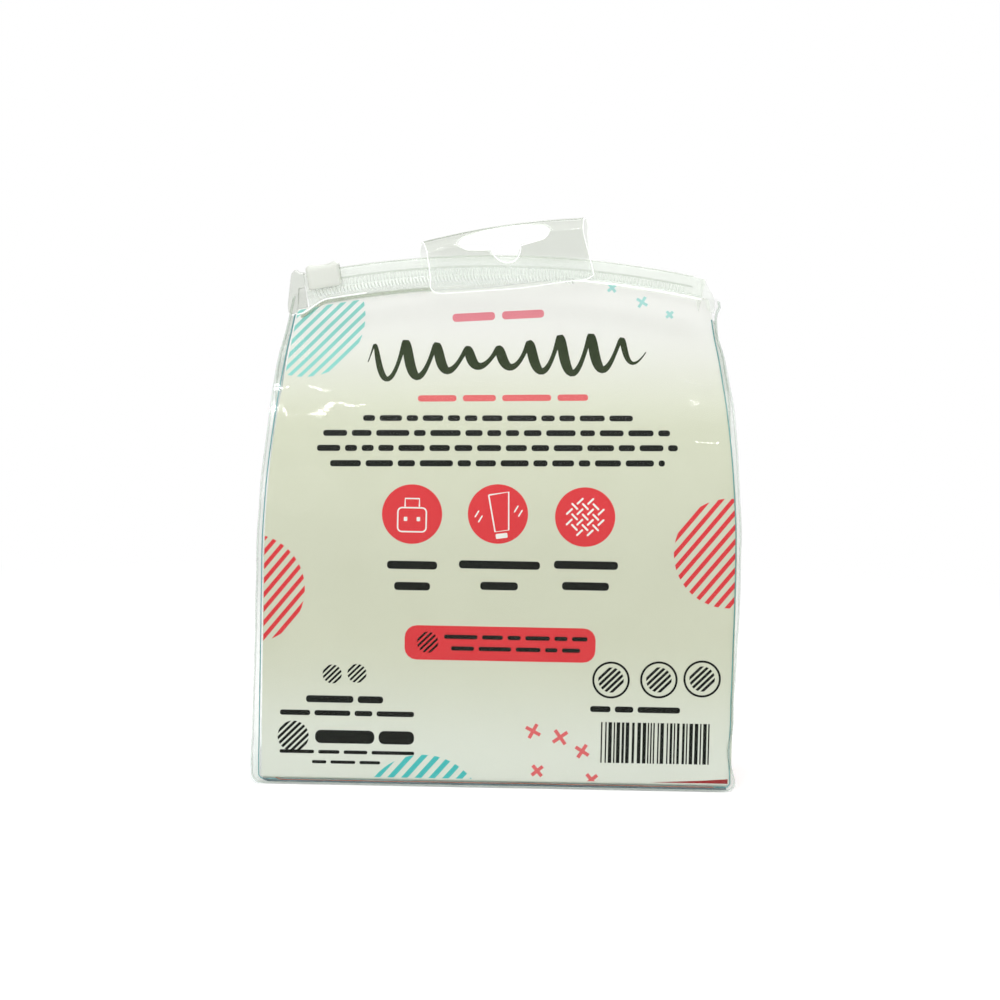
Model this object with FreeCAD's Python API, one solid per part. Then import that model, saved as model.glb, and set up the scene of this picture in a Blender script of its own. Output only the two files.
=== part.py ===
import FreeCAD, Part
import math
import os

from FreeCAD import Vector

# Bottles in a row across the pouch, each with the side its lid is hinged on
bottles = {"left": 0.0, "middle": 0.0, "right": 180.0}
bottle_diameter = 38.0
bottle_gap = 5.0
bottle_side_slack = 2.9
bottle_depth_slack = 2.2
silicone_wall = 1.8
barrel_height = 50.0
barrel_bulge_radius = 420.0
barrel_widest_height = 26.0
shoulder_height = 12.5
shoulder_radius = 9.0
heel_radius = 4.5
foot_inner_radius = 11.0
hollow_radius = 6.6
base_hollow = 1.4
neck_radius = 8.0
neck_height = 11.5
neck_root_radius = 1.6

# Screw cap
cap_radius = 10.8
cap_foot_gap = 1.2
cap_wall = 1.9
cap_top_thickness = 2.0
cap_edge_radius = 0.6
rib_count = 36
rib_radius = 0.45
rib_margin = 1.6
seal_thickness = 1.2
seal_gap = 0.1
fit_gap = 0.25
valve_gap = 0.1
plug_depth = 3.6
plug_wall = 1.0
orifice_radius = 3.2
valve_thickness = 1.0
valve_dome_height = 1.6
valve_skin = 0.8
slit_length = 4.0
slit_width = 0.2
retainer_height = 1.4
retainer_width = 1.5

# Flip lid and its pinned hinge
lid_gap = 0.2
lid_height = 6.5
lid_wall = 1.4
lid_edge_radius = 2.6
spigot_gap = 0.3
spigot_wall = 1.0
spigot_depth = 1.6
pin_radius = 0.8
pin_gap = 0.15
pin_end_gap = 0.2
knuckle_radius = 1.5
knuckle_width = 6.0
ear_width = 1.9
ear_radius = 1.6
hinge_gap = 0.2
hinge_out = 0.2
hinge_rise = 1.8
ear_gap = 0.3
ear_depth = 3.0
web_thickness = 1.5
thumb_width = 8.0
thumb_reach = 1.0
thumb_height = 1.4
thumb_lift = 0.6

# Film pouch and its card
film = 0.4
seam_width = 2.8
foot_seam = 1.4
seam_corner_radius = 3.0
bend_radius = 0.6
card_thickness = 0.5
card_gap = 0.3
card_side_gap = 0.6
card_bend_radius = 1.2
flap_front_gap = 1.5
side_taper_height = 61.0
side_radius = 343.0
lean_above_shoulder = 13.7
lean_share = 0.7
head_room = 63.0

# Arched zip
zip_radius = 280.0
zip_crown_x = 2.0
zip_web_inner = 1.0
zip_web = 0.6
rail_half_width = 2.6
rail_height = 3.2
rail_round = 0.9
rail_split = 0.15
web_depth = 11.0
film_drop = 5.2
film_clearance = 0.4
hook_height = 6.1
hook_stem = 0.8
hook_head = 1.6
hook_barb = 0.6
hook_reach = 1.8
hook_clearance = 0.2
jaw = 0.8
jaw_lip = 0.4
zip_end_inset = 8.1
stop_length = 2.8
stop_half_width = 3.0
stop_rise = 0.6
stop_round = 1.4
end_round = 0.5
stop_foot_gap = 1.0
slider_length = 9.4
slider_rise = 1.9
slider_drop = 4.8
slider_wall = 1.15
slider_clearance = 0.35
slider_round = 1.3
slider_end_round = 0.9
slider_rest_gap = 1.0
slider_dip = 0.5
slider_dip_radius = 9.0

# Hang tab looped over the zip
tab_film = 0.4
tab_width = 46.6
tab_centre_x = 2.6
tab_tilt = -5.0
tab_pad_drop = 11.3
tab_pad_height = 1.0
tab_bend_height = 3.0
tab_loop_half = 4.7
tab_height = 19.5
tab_corner_radius = 3.0
slot_width = 26.4
slot_height = 5.8
slot_drop = 0.5
slot_end_height = 4.6
slot_end_radius = 2.2
slot_dip_radius = 4.45
slot_dip_depth = 3.9

# Values that follow from those above
bottle_radius = bottle_diameter / 2
bottle_pitch = bottle_diameter + bottle_gap
row_half = bottle_pitch * (len(bottles) - 1) / 2
half_width = row_half + bottle_radius + bottle_side_slack + film + seam_width
half_depth = bottle_radius + bottle_depth_slack + (card_thickness + card_gap) / 2 + film
bottle_y = (card_thickness + card_gap) / 2
floor_top = foot_seam + film
bottle_z = floor_top + card_thickness
neck_root_z = barrel_height + shoulder_height
rim_z = neck_root_z + neck_height
cap_under_z = rim_z + seal_thickness + seal_gap
cap_top_z = cap_under_z + cap_top_thickness
lid_bottom_z = cap_top_z + lid_gap
lid_top_z = lid_bottom_z + lid_height
hinge_x = cap_radius + hinge_out
hinge_z = cap_top_z + hinge_rise
lean_start = bottle_z + barrel_height + lean_above_shoulder
zip_crown_z = bottle_z + lid_top_z + head_room
zip_centre = Vector(zip_crown_x, 0, zip_crown_z - zip_radius)
zip_film_inner = zip_web_inner + zip_web
zip_film_outer = zip_film_inner + film
zip_end_x = half_width - zip_end_inset
slider_rest_x = stop_length - zip_end_x + slider_rest_gap + slider_length / 2
card_drop = web_depth + 2 * film_clearance
zip_foot_radius = zip_radius - card_drop
zip_reach = half_width + abs(zip_crown_x)
lean_end = zip_centre.z + math.sqrt(zip_foot_radius ** 2 - zip_reach ** 2)
spare = 5.0
tall = zip_crown_z + 8 * spare
plug_radius = neck_radius - silicone_wall - fit_gap
valve_radius = plug_radius - plug_wall - valve_gap
foot_z = neck_root_z + cap_foot_gap
ear_reach = knuckle_width / 2 + hinge_gap + ear_width
y_axis = Vector(0, 1, 0)


def line(a, b):
    return Part.LineSegment(Vector(*a), Vector(*b)).toShape()


def arc(a, b, c):
    return Part.Arc(Vector(*a), Vector(*b), Vector(*c)).toShape()


def turn_arc(y, z, radius, start, end):
    spots = [math.radians(start + (end - start) * k / 2) for k in range(3)]
    return arc(*[(0, y + radius * math.cos(t), z + radius * math.sin(t)) for t in spots])


def face(edges):
    return Part.Face(Part.Wire(edges))


def polygon(points):
    ends = list(points[1:]) + [points[0]]
    return face([line(a, b) for a, b in zip(points, ends)])


def block(x0, x1, y0, y1, z0, z1):
    return Part.makeBox(x1 - x0, y1 - y0, z1 - z0, Vector(x0, y0, z0))


def s_bend(start, end, shift, share=0.5):
    # two tangent arcs between two upright lines, moved sideways by shift
    (y0, z0), (y1, z1) = start, end
    side = 1 if y1 > y0 else -1
    angle = 2 * math.degrees(math.atan2(abs(y1 - y0), z1 - z0))
    total = (z1 - z0) / math.sin(math.radians(angle))
    first, second = total * share, total * (1 - share)
    low = turn_arc(y0 + side * first, z0, first - side * shift,
                   180 if side > 0 else 0, 180 - angle if side > 0 else angle)
    high = turn_arc(y1 - side * second, z1, second + side * shift,
                    -angle if side > 0 else 180 + angle, 0 if side > 0 else 180)
    return [low, high]


def ends(edges):
    first = edges[0].valueAt(edges[0].FirstParameter)
    last = edges[-1].valueAt(edges[-1].LastParameter)
    return first, last


def wall_curve(inward, bottom):
    # front wall of the pouch seen from the side, moved inward by a distance
    bend = s_bend((half_depth, lean_start), (zip_film_outer, lean_end), -inward, lean_share)
    low, high = ends(bend)
    return [line((0, low.y, bottom), low)] + bend + [line(high, (0, high.y, tall))]


def across(shape_face, half_length):
    solid = shape_face.extrude(Vector(2 * half_length, 0, 0))
    solid.translate(Vector(-half_length, 0, 0))
    return solid


def sheet(near, far, bottom):
    outer = wall_curve(near, bottom)
    inner = wall_curve(far, bottom)
    a, b = ends(outer)
    c, d = ends(inner)
    edges = [line(c, a)] + outer + [line(b, d)] + inner[::-1]
    return across(Part.Face(Part.Wire(Part.__sortEdges__(edges))), half_width + spare)


def between(inward, bottom):
    front = wall_curve(inward, bottom)
    a, b = ends(front)
    back = [e.mirror(Vector(0, 0, 0), y_axis) for e in front]
    c, d = ends(back)
    edges = [line(c, a)] + front + [line(b, d)] + back[::-1]
    return across(Part.Face(Part.Wire(Part.__sortEdges__(edges))), half_width + spare)


def outline(inset):
    # upright sides that bow in above the taper height, with round bottom corners over a narrower foot seam
    w, rs = half_width - inset, side_radius - inset
    foot = max(inset - seam_width + foot_seam, 0)
    r = max(seam_corner_radius - inset, bend_radius)
    k = r * (1 - math.sqrt(0.5))
    lean = math.asin((tall - side_taper_height) / side_radius)
    cx = half_width - side_radius
    mid = (cx + rs * math.cos(lean / 2), 0, side_taper_height + rs * math.sin(lean / 2))
    top = (cx + rs * math.cos(lean), 0, side_taper_height + rs * math.sin(lean))
    edges = [line((r - w, 0, foot), (w - r, 0, foot)),
             arc((w - r, 0, foot), (w - k, 0, foot + k), (w, 0, foot + r)),
             line((w, 0, foot + r), (w, 0, side_taper_height)),
             arc((w, 0, side_taper_height), mid, top),
             line(top, (-top[0], 0, top[2])),
             arc((-top[0], 0, top[2]), (-mid[0], 0, mid[2]), (-w, 0, side_taper_height)),
             line((-w, 0, side_taper_height), (-w, 0, foot + r)),
             arc((-w, 0, foot + r), (k - w, 0, foot + k), (r - w, 0, foot))]
    solid = face(edges).extrude(Vector(0, 2 * (half_depth + spare), 0))
    solid.translate(Vector(0, -half_depth - spare, 0))
    return solid


def zip_disc(drop):
    base = zip_centre - y_axis * (half_depth + spare)
    return Part.makeCylinder(zip_radius - drop, 2 * (half_depth + spare), base, y_axis)


def mirrored(shape):
    return shape.mirror(Vector(0, 0, 0), y_axis)


def front_panel():
    return sheet(0, film, -1).common(outline(0)).common(zip_disc(film_drop))


def gusset_strip():
    ring = outline(seam_width).cut(outline(seam_width + film))
    wall = ring.common(between(film, -1))
    lip_ring = outline(0).cut(outline(seam_width + film))
    lip = sheet(film, 2 * film, -1).common(lip_ring)
    strip = wall.fuse(lip).fuse(mirrored(lip))
    return strip.common(zip_disc(web_depth + film_clearance)).removeSplitter()


def insert_card():
    near = film + card_gap
    far = near + card_thickness
    back = sheet(near, far, -1).common(outline(seam_width + film + card_side_gap))
    # base flap, joined to the back by a bend
    flap_half = half_width - seam_width - film - bend_radius - card_side_gap
    outer_y, inner_y = half_depth - near, half_depth - far
    r, z0 = card_bend_radius, floor_top
    z1 = z0 + card_thickness
    front_y = -(half_depth - film - flap_front_gap)
    rise = z1 + 2 * r
    cy, cz = inner_y - r, z1 + r
    big = r + card_thickness
    edges = [line((0, front_y, z0), (0, cy, z0)), turn_arc(cy, cz, big, -90, 0),
             line((0, outer_y, cz), (0, outer_y, rise)), line((0, outer_y, rise), (0, inner_y, rise)),
             line((0, inner_y, rise), (0, inner_y, cz)), turn_arc(cy, cz, r, 0, -90),
             line((0, cy, z1), (0, front_y, z1)), line((0, front_y, z1), (0, front_y, z0))]
    flap = across(face(edges), flap_half)
    card = back.common(zip_disc(card_drop)).fuse(flap).removeSplitter()
    return mirrored(card)


def swept(section, x0, x1):
    # turns a section on the crown about the zip's axis, between two stations across the pouch
    a = math.degrees(math.asin((x0 - zip_crown_x) / zip_radius))
    b = math.degrees(math.asin((x1 - zip_crown_x) / zip_radius))
    start = section.copy()
    start.rotate(zip_centre, y_axis, a)
    return start.revolve(zip_centre, y_axis, b - a)


def on_crown(points):
    return [(zip_crown_x, y, zip_crown_z + r) for y, r in points]


def rail_section(side):
    lo, hi, r = rail_split, rail_half_width, rail_round
    k = r * (1 - math.sqrt(0.5))
    deep = zip_crown_z - web_depth
    neck = zip_crown_z - rail_height
    x, top = zip_crown_x, zip_crown_z
    a, b = zip_web_inner, zip_film_inner
    edges = [line((x, side * a, deep), (x, side * b, deep)), line((x, side * b, deep), (x, side * b, neck)),
             line((x, side * b, neck), (x, side * hi, neck)),
             line((x, side * hi, neck), (x, side * hi, top - r)),
             arc((x, side * hi, top - r), (x, side * (hi - k), top - k), (x, side * (hi - r), top)),
             line((x, side * (hi - r), top), (x, side * lo, top)),
             line((x, side * lo, top), (x, side * lo, neck)),
             line((x, side * lo, neck), (x, side * a, neck)), line((x, side * a, neck), (x, side * a, deep))]
    return face(edges)


def back_zip_track():
    stem, head = hook_stem / 2, hook_head / 2
    tip = hook_reach - zip_web_inner
    root = tip - hook_barb
    web = -zip_web_inner - zip_web / 2
    hook = on_crown([(web, -hook_height - stem), (root, -hook_height - stem), (root, -hook_height - head),
                     (tip, -hook_height - stem), (tip, -hook_height + stem), (root, -hook_height + head),
                     (root, -hook_height + stem), (web, -hook_height + stem)])
    end = zip_end_x - stop_length
    track = swept(rail_section(-1), -end, end)
    return track.fuse(swept(polygon(hook), -end, end)).removeSplitter()


def front_zip_track():
    head = hook_head / 2 + hook_clearance
    stem = hook_stem / 2 + hook_clearance
    back = hook_reach - zip_web_inner - hook_barb - hook_clearance
    web = zip_web_inner + zip_web / 2
    end = zip_end_x - stop_length
    track = swept(rail_section(1), -end, end)
    for way in (1, -1):
        tip = back - jaw_lip
        points = [(web, head), (back, head), (back, stem), (tip, stem), (tip, head + jaw), (web, head + jaw)]
        finger = on_crown([(y, -hook_height + way * r) for y, r in points])
        track = track.fuse(swept(polygon(finger), -end, end))
    return track.removeSplitter()


def soften_ends(solid, radius, lowest):
    # rounds the edges of a swept solid's two end faces, where they lie further out than a given radius
    picked = []
    for f in solid.Faces:
        out, normal = f.CenterOfMass - zip_centre, f.normalAt(0, 0)
        if abs(normal.y) < 0.01 and abs(normal.dot(out)) < 0.01 * out.Length:
            picked += [e for e in f.Edges if (e.CenterOfMass - zip_centre).Length > lowest]
    return solid.makeFillet(radius, picked)


def end_stop(side):
    # crimp over the rails, with a foot that goes down between the films
    r = stop_round
    k = r * (1 - math.sqrt(0.5))
    w, foot, top = stop_half_width, zip_film_inner, zip_crown_z + stop_rise
    shelf = zip_crown_z - film_drop + film_clearance
    deep = zip_crown_z - web_depth + stop_foot_gap
    x = zip_crown_x
    edges = [line((x, -foot, deep), (x, foot, deep)), line((x, foot, deep), (x, foot, shelf)),
             line((x, foot, shelf), (x, w, shelf)), line((x, w, shelf), (x, w, top - r)),
             arc((x, w, top - r), (x, w - k, top - k), (x, w - r, top)), line((x, w - r, top), (x, r - w, top)),
             arc((x, r - w, top), (x, k - w, top - k), (x, -w, top - r)),
             line((x, -w, top - r), (x, -w, shelf)),
             line((x, -w, shelf), (x, -foot, shelf)), line((x, -foot, shelf), (x, -foot, deep))]
    a, b = zip_end_x - stop_length, zip_end_x
    crimp = swept(face(edges), a, b) if side > 0 else swept(face(edges), -b, -a)
    return soften_ends(crimp, end_round, zip_radius - film_drop + 2 * film_clearance)


def zip_slider():
    inner = rail_half_width + slider_clearance
    outer = inner + slider_wall
    lip = zip_film_inner + slider_clearance
    top, deep = zip_crown_z + slider_rise, zip_crown_z - slider_drop
    x, r = zip_crown_x, slider_round
    k = r * (1 - math.sqrt(0.5))
    edges = [line((x, -outer, deep), (x, outer, deep)), line((x, outer, deep), (x, outer, top - r)),
             arc((x, outer, top - r), (x, outer - k, top - k), (x, outer - r, top)),
             line((x, outer - r, top), (x, r - outer, top)),
             arc((x, r - outer, top), (x, k - outer, top - k), (x, -outer, top - r)),
             line((x, -outer, top - r), (x, -outer, deep))]
    half = slider_length / 2
    body = swept(face(edges), slider_rest_x - half, slider_rest_x + half)
    body = soften_ends(body, slider_end_round, zip_radius - slider_drop + film_clearance)
    # channel for the two rails, with lips that hook under them
    roof, ledge = slider_clearance, -rail_height - slider_clearance
    floor = -slider_drop - spare
    channel = on_crown([(lip, floor), (lip, ledge), (inner, ledge), (inner, roof),
                        (-inner, roof), (-inner, ledge), (-lip, ledge), (-lip, floor)])
    body = body.cut(swept(polygon(channel), slider_rest_x - slider_length, slider_rest_x + slider_length))
    # finger dip across the top
    angle = math.degrees(math.asin((slider_rest_x - zip_crown_x) / zip_radius))
    dip_z = top + slider_dip_radius - slider_dip
    reach = outer + spare
    dip = Part.makeCylinder(slider_dip_radius, 2 * reach, Vector(zip_crown_x, -reach, dip_z), y_axis)
    dip.rotate(zip_centre, y_axis, angle)
    return body.cut(dip)


def tab_curve(outward):
    # one leg of the loop, from the weld pad up to the start of the fold
    y0, y1 = zip_film_outer, tab_loop_half
    z1 = tab_pad_height + tab_bend_height
    bend = s_bend((y0, tab_pad_height), (y1, z1), outward)
    low, high = ends(bend)
    fold = tab_height - tab_loop_half - tab_film
    return [line((0, low.y, 0), low)] + bend + [line(high, (0, high.y, fold))]


def hang_tab():
    fold = tab_height - tab_loop_half - tab_film
    edges = []
    feet = {}
    for outward in (0, tab_film):
        leg = tab_curve(outward)
        edges += leg + [e.mirror(Vector(0, 0, 0), y_axis) for e in leg]
        edges.append(turn_arc(0, fold, tab_loop_half + outward, 0, 180))
        feet[outward] = ends(leg)[0].y
    for side in (1, -1):
        edges.append(line((0, side * feet[0], 0), (0, side * feet[tab_film], 0)))
    loop = across(Part.Face(Part.Wire(Part.__sortEdges__(edges))), tab_width / 2)
    deep = tab_loop_half + tab_film + spare
    # round lower corners
    half, r = tab_width / 2, tab_corner_radius
    for side in (1, -1):
        near, far = sorted((side * half, side * (half - r)))
        corner = block(near, far, -deep, deep, 0, r)
        hole = Part.makeCylinder(r, 2 * deep, Vector(side * (half - r), -deep, r), y_axis)
        loop = loop.cut(corner.cut(hole))
    # hanging slot with an arched top, soft ends and a round dip in the middle
    top = tab_height - slot_drop
    low = top - slot_height
    end, rise = slot_width / 2, slot_height - slot_end_height
    arch = (end ** 2 + rise ** 2) / (2 * rise)
    slot = Part.makeCylinder(arch, 2 * deep, Vector(0, -deep, top - arch), y_axis)
    slot = slot.common(block(-end, end, -deep, deep, low, top))
    tips = [e for e in slot.Edges if abs(abs(e.CenterOfMass.x) - end) < 0.01]
    slot = slot.makeFillet(slot_end_radius, tips)
    dip_z = low - slot_dip_depth + slot_dip_radius
    slot = slot.fuse(Part.makeCylinder(slot_dip_radius, 2 * deep, Vector(0, -deep, dip_z), y_axis))
    loop = loop.cut(slot)
    loop.translate(Vector(tab_centre_x, 0, zip_crown_z - tab_pad_drop))
    loop.rotate(Vector(tab_centre_x, 0, zip_crown_z - tab_pad_drop), y_axis, tab_tilt)
    return loop


def round_edges(solid, radius, height, size):
    # rounds the circular edges found at one height and radius
    picked = [e for e in solid.Edges if isinstance(e.Curve, Part.Circle)
              and abs(e.Curve.Radius - size) < 0.05 and abs(e.Curve.Center.z - height) < 0.05]
    return solid.makeFillet(radius, picked)


def bottle_body():
    mid = barrel_widest_height
    bulge = barrel_bulge_radius
    low = bottle_radius - bulge + math.sqrt(bulge ** 2 - mid ** 2)
    high = bottle_radius - bulge + math.sqrt(bulge ** 2 - (barrel_height - mid) ** 2)
    foot, hollow = foot_inner_radius, base_hollow
    edges = [line((0, 0, hollow), (hollow_radius, 0, hollow)), line((hollow_radius, 0, hollow), (foot, 0, 0)),
             line((foot, 0, 0), (low, 0, 0)),
             arc((low, 0, 0), (bottle_radius, 0, mid), (high, 0, barrel_height)),
             line((high, 0, barrel_height), (neck_radius, 0, neck_root_z)),
             line((neck_radius, 0, neck_root_z), (neck_radius, 0, rim_z)),
             line((neck_radius, 0, rim_z), (0, 0, rim_z)), line((0, 0, rim_z), (0, 0, hollow))]
    solid = face(edges).revolve(Vector(0, 0, 0), Vector(0, 0, 1), 360)
    solid = round_edges(solid, heel_radius, 0, low)
    solid = round_edges(solid, shoulder_radius, barrel_height, high)
    solid = round_edges(solid, neck_root_radius, neck_root_z, neck_radius)
    rim = [f for f in solid.Faces if abs(f.CenterOfMass.z - rim_z) < 0.01]
    return solid.makeThickness(rim, -silicone_wall, 0.001)


def rod(radius, z0, z1):
    return Part.makeCylinder(radius, z1 - z0, Vector(0, 0, z0))


def ring(outer, inner, z0, z1):
    return rod(outer, z0, z1).cut(rod(inner, z0 - spare, z1 + spare))


def cross_bar(radius, half_length, x, z):
    return Part.makeCylinder(radius, 2 * half_length, Vector(x, -half_length, z), y_axis)


def neck_seal():
    bore = neck_radius - silicone_wall
    return ring(neck_radius - fit_gap, bore + fit_gap, rim_z, rim_z + seal_thickness)


def grip_ribs():
    rib = rod(rib_radius, foot_z + rib_margin, cap_top_z - rib_margin)
    rib.translate(Vector(cap_radius, 0, 0))
    ribs = []
    for k in range(rib_count):
        one = rib.copy()
        one.rotate(Vector(0, 0, 0), Vector(0, 0, 1), 360 * (k + 0.5) / rib_count)
        ribs.append(one)
    return ribs


def hinge_ears():
    # two ears that carry the lid's pin
    ears = []
    for side in (1, -1):
        near = side * (knuckle_width / 2 + hinge_gap)
        far = near + side * ear_width
        low, high = min(near, far), max(near, far)
        ear = block(hinge_x - ear_radius, hinge_x + ear_radius, low, high, cap_top_z - ear_depth, hinge_z)
        eye = Part.makeCylinder(ear_radius, ear_width, Vector(hinge_x, low, hinge_z), y_axis)
        bore = cross_bar(pin_radius + pin_gap, ear_reach + spare, hinge_x, hinge_z)
        ears.append(ear.fuse(eye).cut(bore))
    return ears


def cap_base():
    body = round_edges(rod(cap_radius, foot_z, cap_top_z), cap_edge_radius, cap_top_z, cap_radius)
    body = body.fuse(grip_ribs() + hinge_ears())
    body = body.cut(rod(cap_radius - cap_wall, foot_z - spare, cap_under_z))
    # plug that enters the neck, then the orifice through the top
    body = body.fuse(ring(plug_radius, plug_radius - plug_wall, cap_under_z - plug_depth, cap_top_z))
    return body.cut(rod(orifice_radius, foot_z, cap_top_z + spare)).removeSplitter()


def slit_valve():
    seat = cap_under_z - valve_thickness
    flange = rod(valve_radius, seat, cap_under_z)
    # dome that hangs into the bottle, cut by a crossed slit
    r = valve_radius - retainer_width - fit_gap
    h = valve_dome_height
    ball = (r * r + h * h) / (2 * h)
    centre = Vector(0, 0, seat + ball - h)
    dome = Part.makeSphere(ball, centre).common(rod(r, seat - h - spare, seat))
    valve = flange.fuse(dome).cut(Part.makeSphere(ball - valve_skin, centre))
    s, w = slit_length / 2, slit_width / 2
    low, high = seat - h - spare, cap_under_z + spare
    return valve.cut(block(-s, s, -w, w, low, high)).cut(block(-w, w, -s, s, low, high)).removeSplitter()


def valve_retainer():
    seat = cap_under_z - valve_thickness
    return ring(valve_radius, valve_radius - retainer_width, seat - retainer_height, seat)


def thumb_lip():
    low = lid_bottom_z + thumb_lift
    lip = ring(cap_radius + thumb_reach, cap_radius - lid_wall / 2, low, low + thumb_height)
    half = thumb_width / 2
    return lip.common(block(-2 * cap_radius, 0, -half, half, low, low + thumb_height))


def flip_lid():
    body = round_edges(rod(cap_radius, lid_bottom_z, lid_top_z), lid_edge_radius, lid_top_z, cap_radius)
    inner, ceiling = cap_radius - lid_wall, lid_top_z - lid_wall
    hollow = round_edges(rod(inner, lid_bottom_z, ceiling), lid_edge_radius - lid_wall / 2, ceiling, inner)
    # spigot that closes the orifice
    outer = orifice_radius - spigot_gap
    spigot = ring(outer, outer - spigot_wall, cap_top_z - spigot_depth, lid_top_z - lid_wall / 2)
    body = body.cut(hollow).fuse(spigot).fuse(thumb_lip())
    # clear the ears, then add the knuckle with its pin
    half, r = ear_reach + hinge_gap, ear_radius + ear_gap
    room = block(hinge_x - r, hinge_x + spare, -half, half, lid_bottom_z - spare, hinge_z)
    body = body.cut(room.fuse(cross_bar(r, half, hinge_x, hinge_z)))
    k = knuckle_width / 2
    web = block(cap_radius - web_thickness, cap_radius, -k, k, hinge_z, lid_top_z - lid_edge_radius)
    web = web.common(rod(cap_radius, lid_bottom_z, lid_top_z))
    knuckle = cross_bar(knuckle_radius, k, hinge_x, hinge_z)
    pin = cross_bar(pin_radius, ear_reach - pin_end_gap, hinge_x, hinge_z)
    return body.fuse([web, knuckle, pin]).removeSplitter()


def export(shape, name):
    print(name, len(shape.Solids), shape.isValid(), round(shape.Volume, 1))
    shape.exportStep(f"parts/{name}.step")


os.makedirs("parts", exist_ok=True)
front = front_panel()
export(front, "front_panel")
export(mirrored(front), "back_panel")
export(gusset_strip(), "gusset_strip")
export(insert_card(), "insert_card")
export(back_zip_track(), "back_zip_track")
export(front_zip_track(), "front_zip_track")
export(end_stop(-1), "left_end_stop")
export(end_stop(1), "right_end_stop")
export(zip_slider(), "zip_slider")
export(hang_tab(), "hang_tab")
pieces = {"bottle": bottle_body(), "neck_seal": neck_seal(), "cap_base": cap_base(),
          "slit_valve": slit_valve(), "valve_retainer": valve_retainer(), "flip_lid": flip_lid()}
for index, (name, turn) in enumerate(bottles.items()):
    for piece, shape in pieces.items():
        placed = shape.copy()
        placed.rotate(Vector(0, 0, 0), Vector(0, 0, 1), turn)
        placed.translate(Vector(index * bottle_pitch - row_half, bottle_y, bottle_z))
        export(placed, f"{name}_{piece}")
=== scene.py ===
import math
import random

import bmesh
import bpy
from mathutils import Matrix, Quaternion, Vector, noise


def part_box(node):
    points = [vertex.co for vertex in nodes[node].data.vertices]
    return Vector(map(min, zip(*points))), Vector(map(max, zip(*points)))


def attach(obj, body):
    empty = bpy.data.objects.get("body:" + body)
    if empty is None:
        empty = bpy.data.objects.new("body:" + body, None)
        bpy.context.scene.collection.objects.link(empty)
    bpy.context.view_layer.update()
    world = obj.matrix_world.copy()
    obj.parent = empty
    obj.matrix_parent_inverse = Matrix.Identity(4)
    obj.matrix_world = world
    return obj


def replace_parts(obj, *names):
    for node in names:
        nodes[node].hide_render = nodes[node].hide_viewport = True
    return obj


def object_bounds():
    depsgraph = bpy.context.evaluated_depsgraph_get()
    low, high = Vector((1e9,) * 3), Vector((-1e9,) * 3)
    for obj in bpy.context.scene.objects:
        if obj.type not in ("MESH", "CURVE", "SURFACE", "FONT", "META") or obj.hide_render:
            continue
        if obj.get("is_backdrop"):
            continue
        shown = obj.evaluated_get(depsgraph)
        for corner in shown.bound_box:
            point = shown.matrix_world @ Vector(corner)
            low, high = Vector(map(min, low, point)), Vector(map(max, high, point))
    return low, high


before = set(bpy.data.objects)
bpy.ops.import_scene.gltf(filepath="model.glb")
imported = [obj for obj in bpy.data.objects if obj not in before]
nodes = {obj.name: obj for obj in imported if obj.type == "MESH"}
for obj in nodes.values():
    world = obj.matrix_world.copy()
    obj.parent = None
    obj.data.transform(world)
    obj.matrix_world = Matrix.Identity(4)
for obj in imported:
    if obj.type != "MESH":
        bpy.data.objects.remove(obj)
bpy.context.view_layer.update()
scene = bpy.context.scene
mm = 0.001
quarter = math.pi / 2
bothSides = (("back", -1), ("front", 1))
draw = random.Random(7)
print("frame loaded,", len(nodes), "nodes")


def addObject(name, data):
    item = bpy.data.objects.new(name, data)
    scene.collection.objects.link(item)
    return item


# Turns a camera or a lamp to look along a way, rolled by some degrees
def lookAlong(item, way, roll):
    item.rotation_mode = "QUATERNION"
    item.rotation_quaternion = way.to_track_quat("-Z", "Y") @ Quaternion((0, 0, 1), math.radians(roll))


# Camera at the photograph's angle, with the slight roll of the picture
camera = {"aim": (0.0, 0.16, 79.2), "distance": 1000.0, "elevation": 7.5, "roll": 1.11, "lens": 125.65,
          "sensor": 36.0}
scene.view_settings.view_transform = "Standard"
lift = math.radians(camera["elevation"])
back = Vector((0.0, -math.cos(lift), math.sin(lift)))
cameraData = bpy.data.cameras.new("camera")
cameraData.lens = camera["lens"]
cameraData.sensor_width = camera["sensor"]
cameraObject = addObject("camera", cameraData)
cameraObject.location = (Vector(camera["aim"]) + back * camera["distance"]) * mm
lookAlong(cameraObject, -back, camera["roll"])
scene.camera = cameraObject


def linear(red, green, blue):
    return tuple((c / 255) ** 2.2 for c in (red, green, blue)) + (1.0,)


def newMaterial(name):
    material = bpy.data.materials.new(name)
    material.use_nodes = True
    tree = material.node_tree
    return material, tree, tree.nodes["Principled BSDF"]


def setInputs(node, values):
    for key, value in values.items():
        node.inputs[key].default_value = value


def addNode(tree, kind, links=(), **settings):
    node = tree.nodes.new(kind)
    for key, value in settings.items():
        if key in node.inputs:
            node.inputs[key].default_value = value
        else:
            setattr(node, key, value)
    for source, target in links:
        tree.links.new(source, node.inputs[target])
    return node


# A colour or value on its way from the first to the second, by the mix node's own socket numbers
def addMix(tree, kind, factor, first, second):
    a, b, out = {"FLOAT": (2, 3, 0), "RGBA": (6, 7, 2)}[kind]
    node = addNode(tree, "ShaderNodeMix", [(factor, "Factor"), (first, a)], data_type=kind)
    if isinstance(second, tuple):
        node.inputs[b].default_value = second
    else:
        tree.links.new(second, node.inputs[b])
    return node.outputs[out]


# A value carried from one span to another
def addSpan(tree, value, spans, kind="LINEAR"):
    node = addNode(tree, "ShaderNodeMapRange", [(value, "Value")], interpolation_type=kind)
    setInputs(node, spans)
    return node.outputs["Result"]


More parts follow.
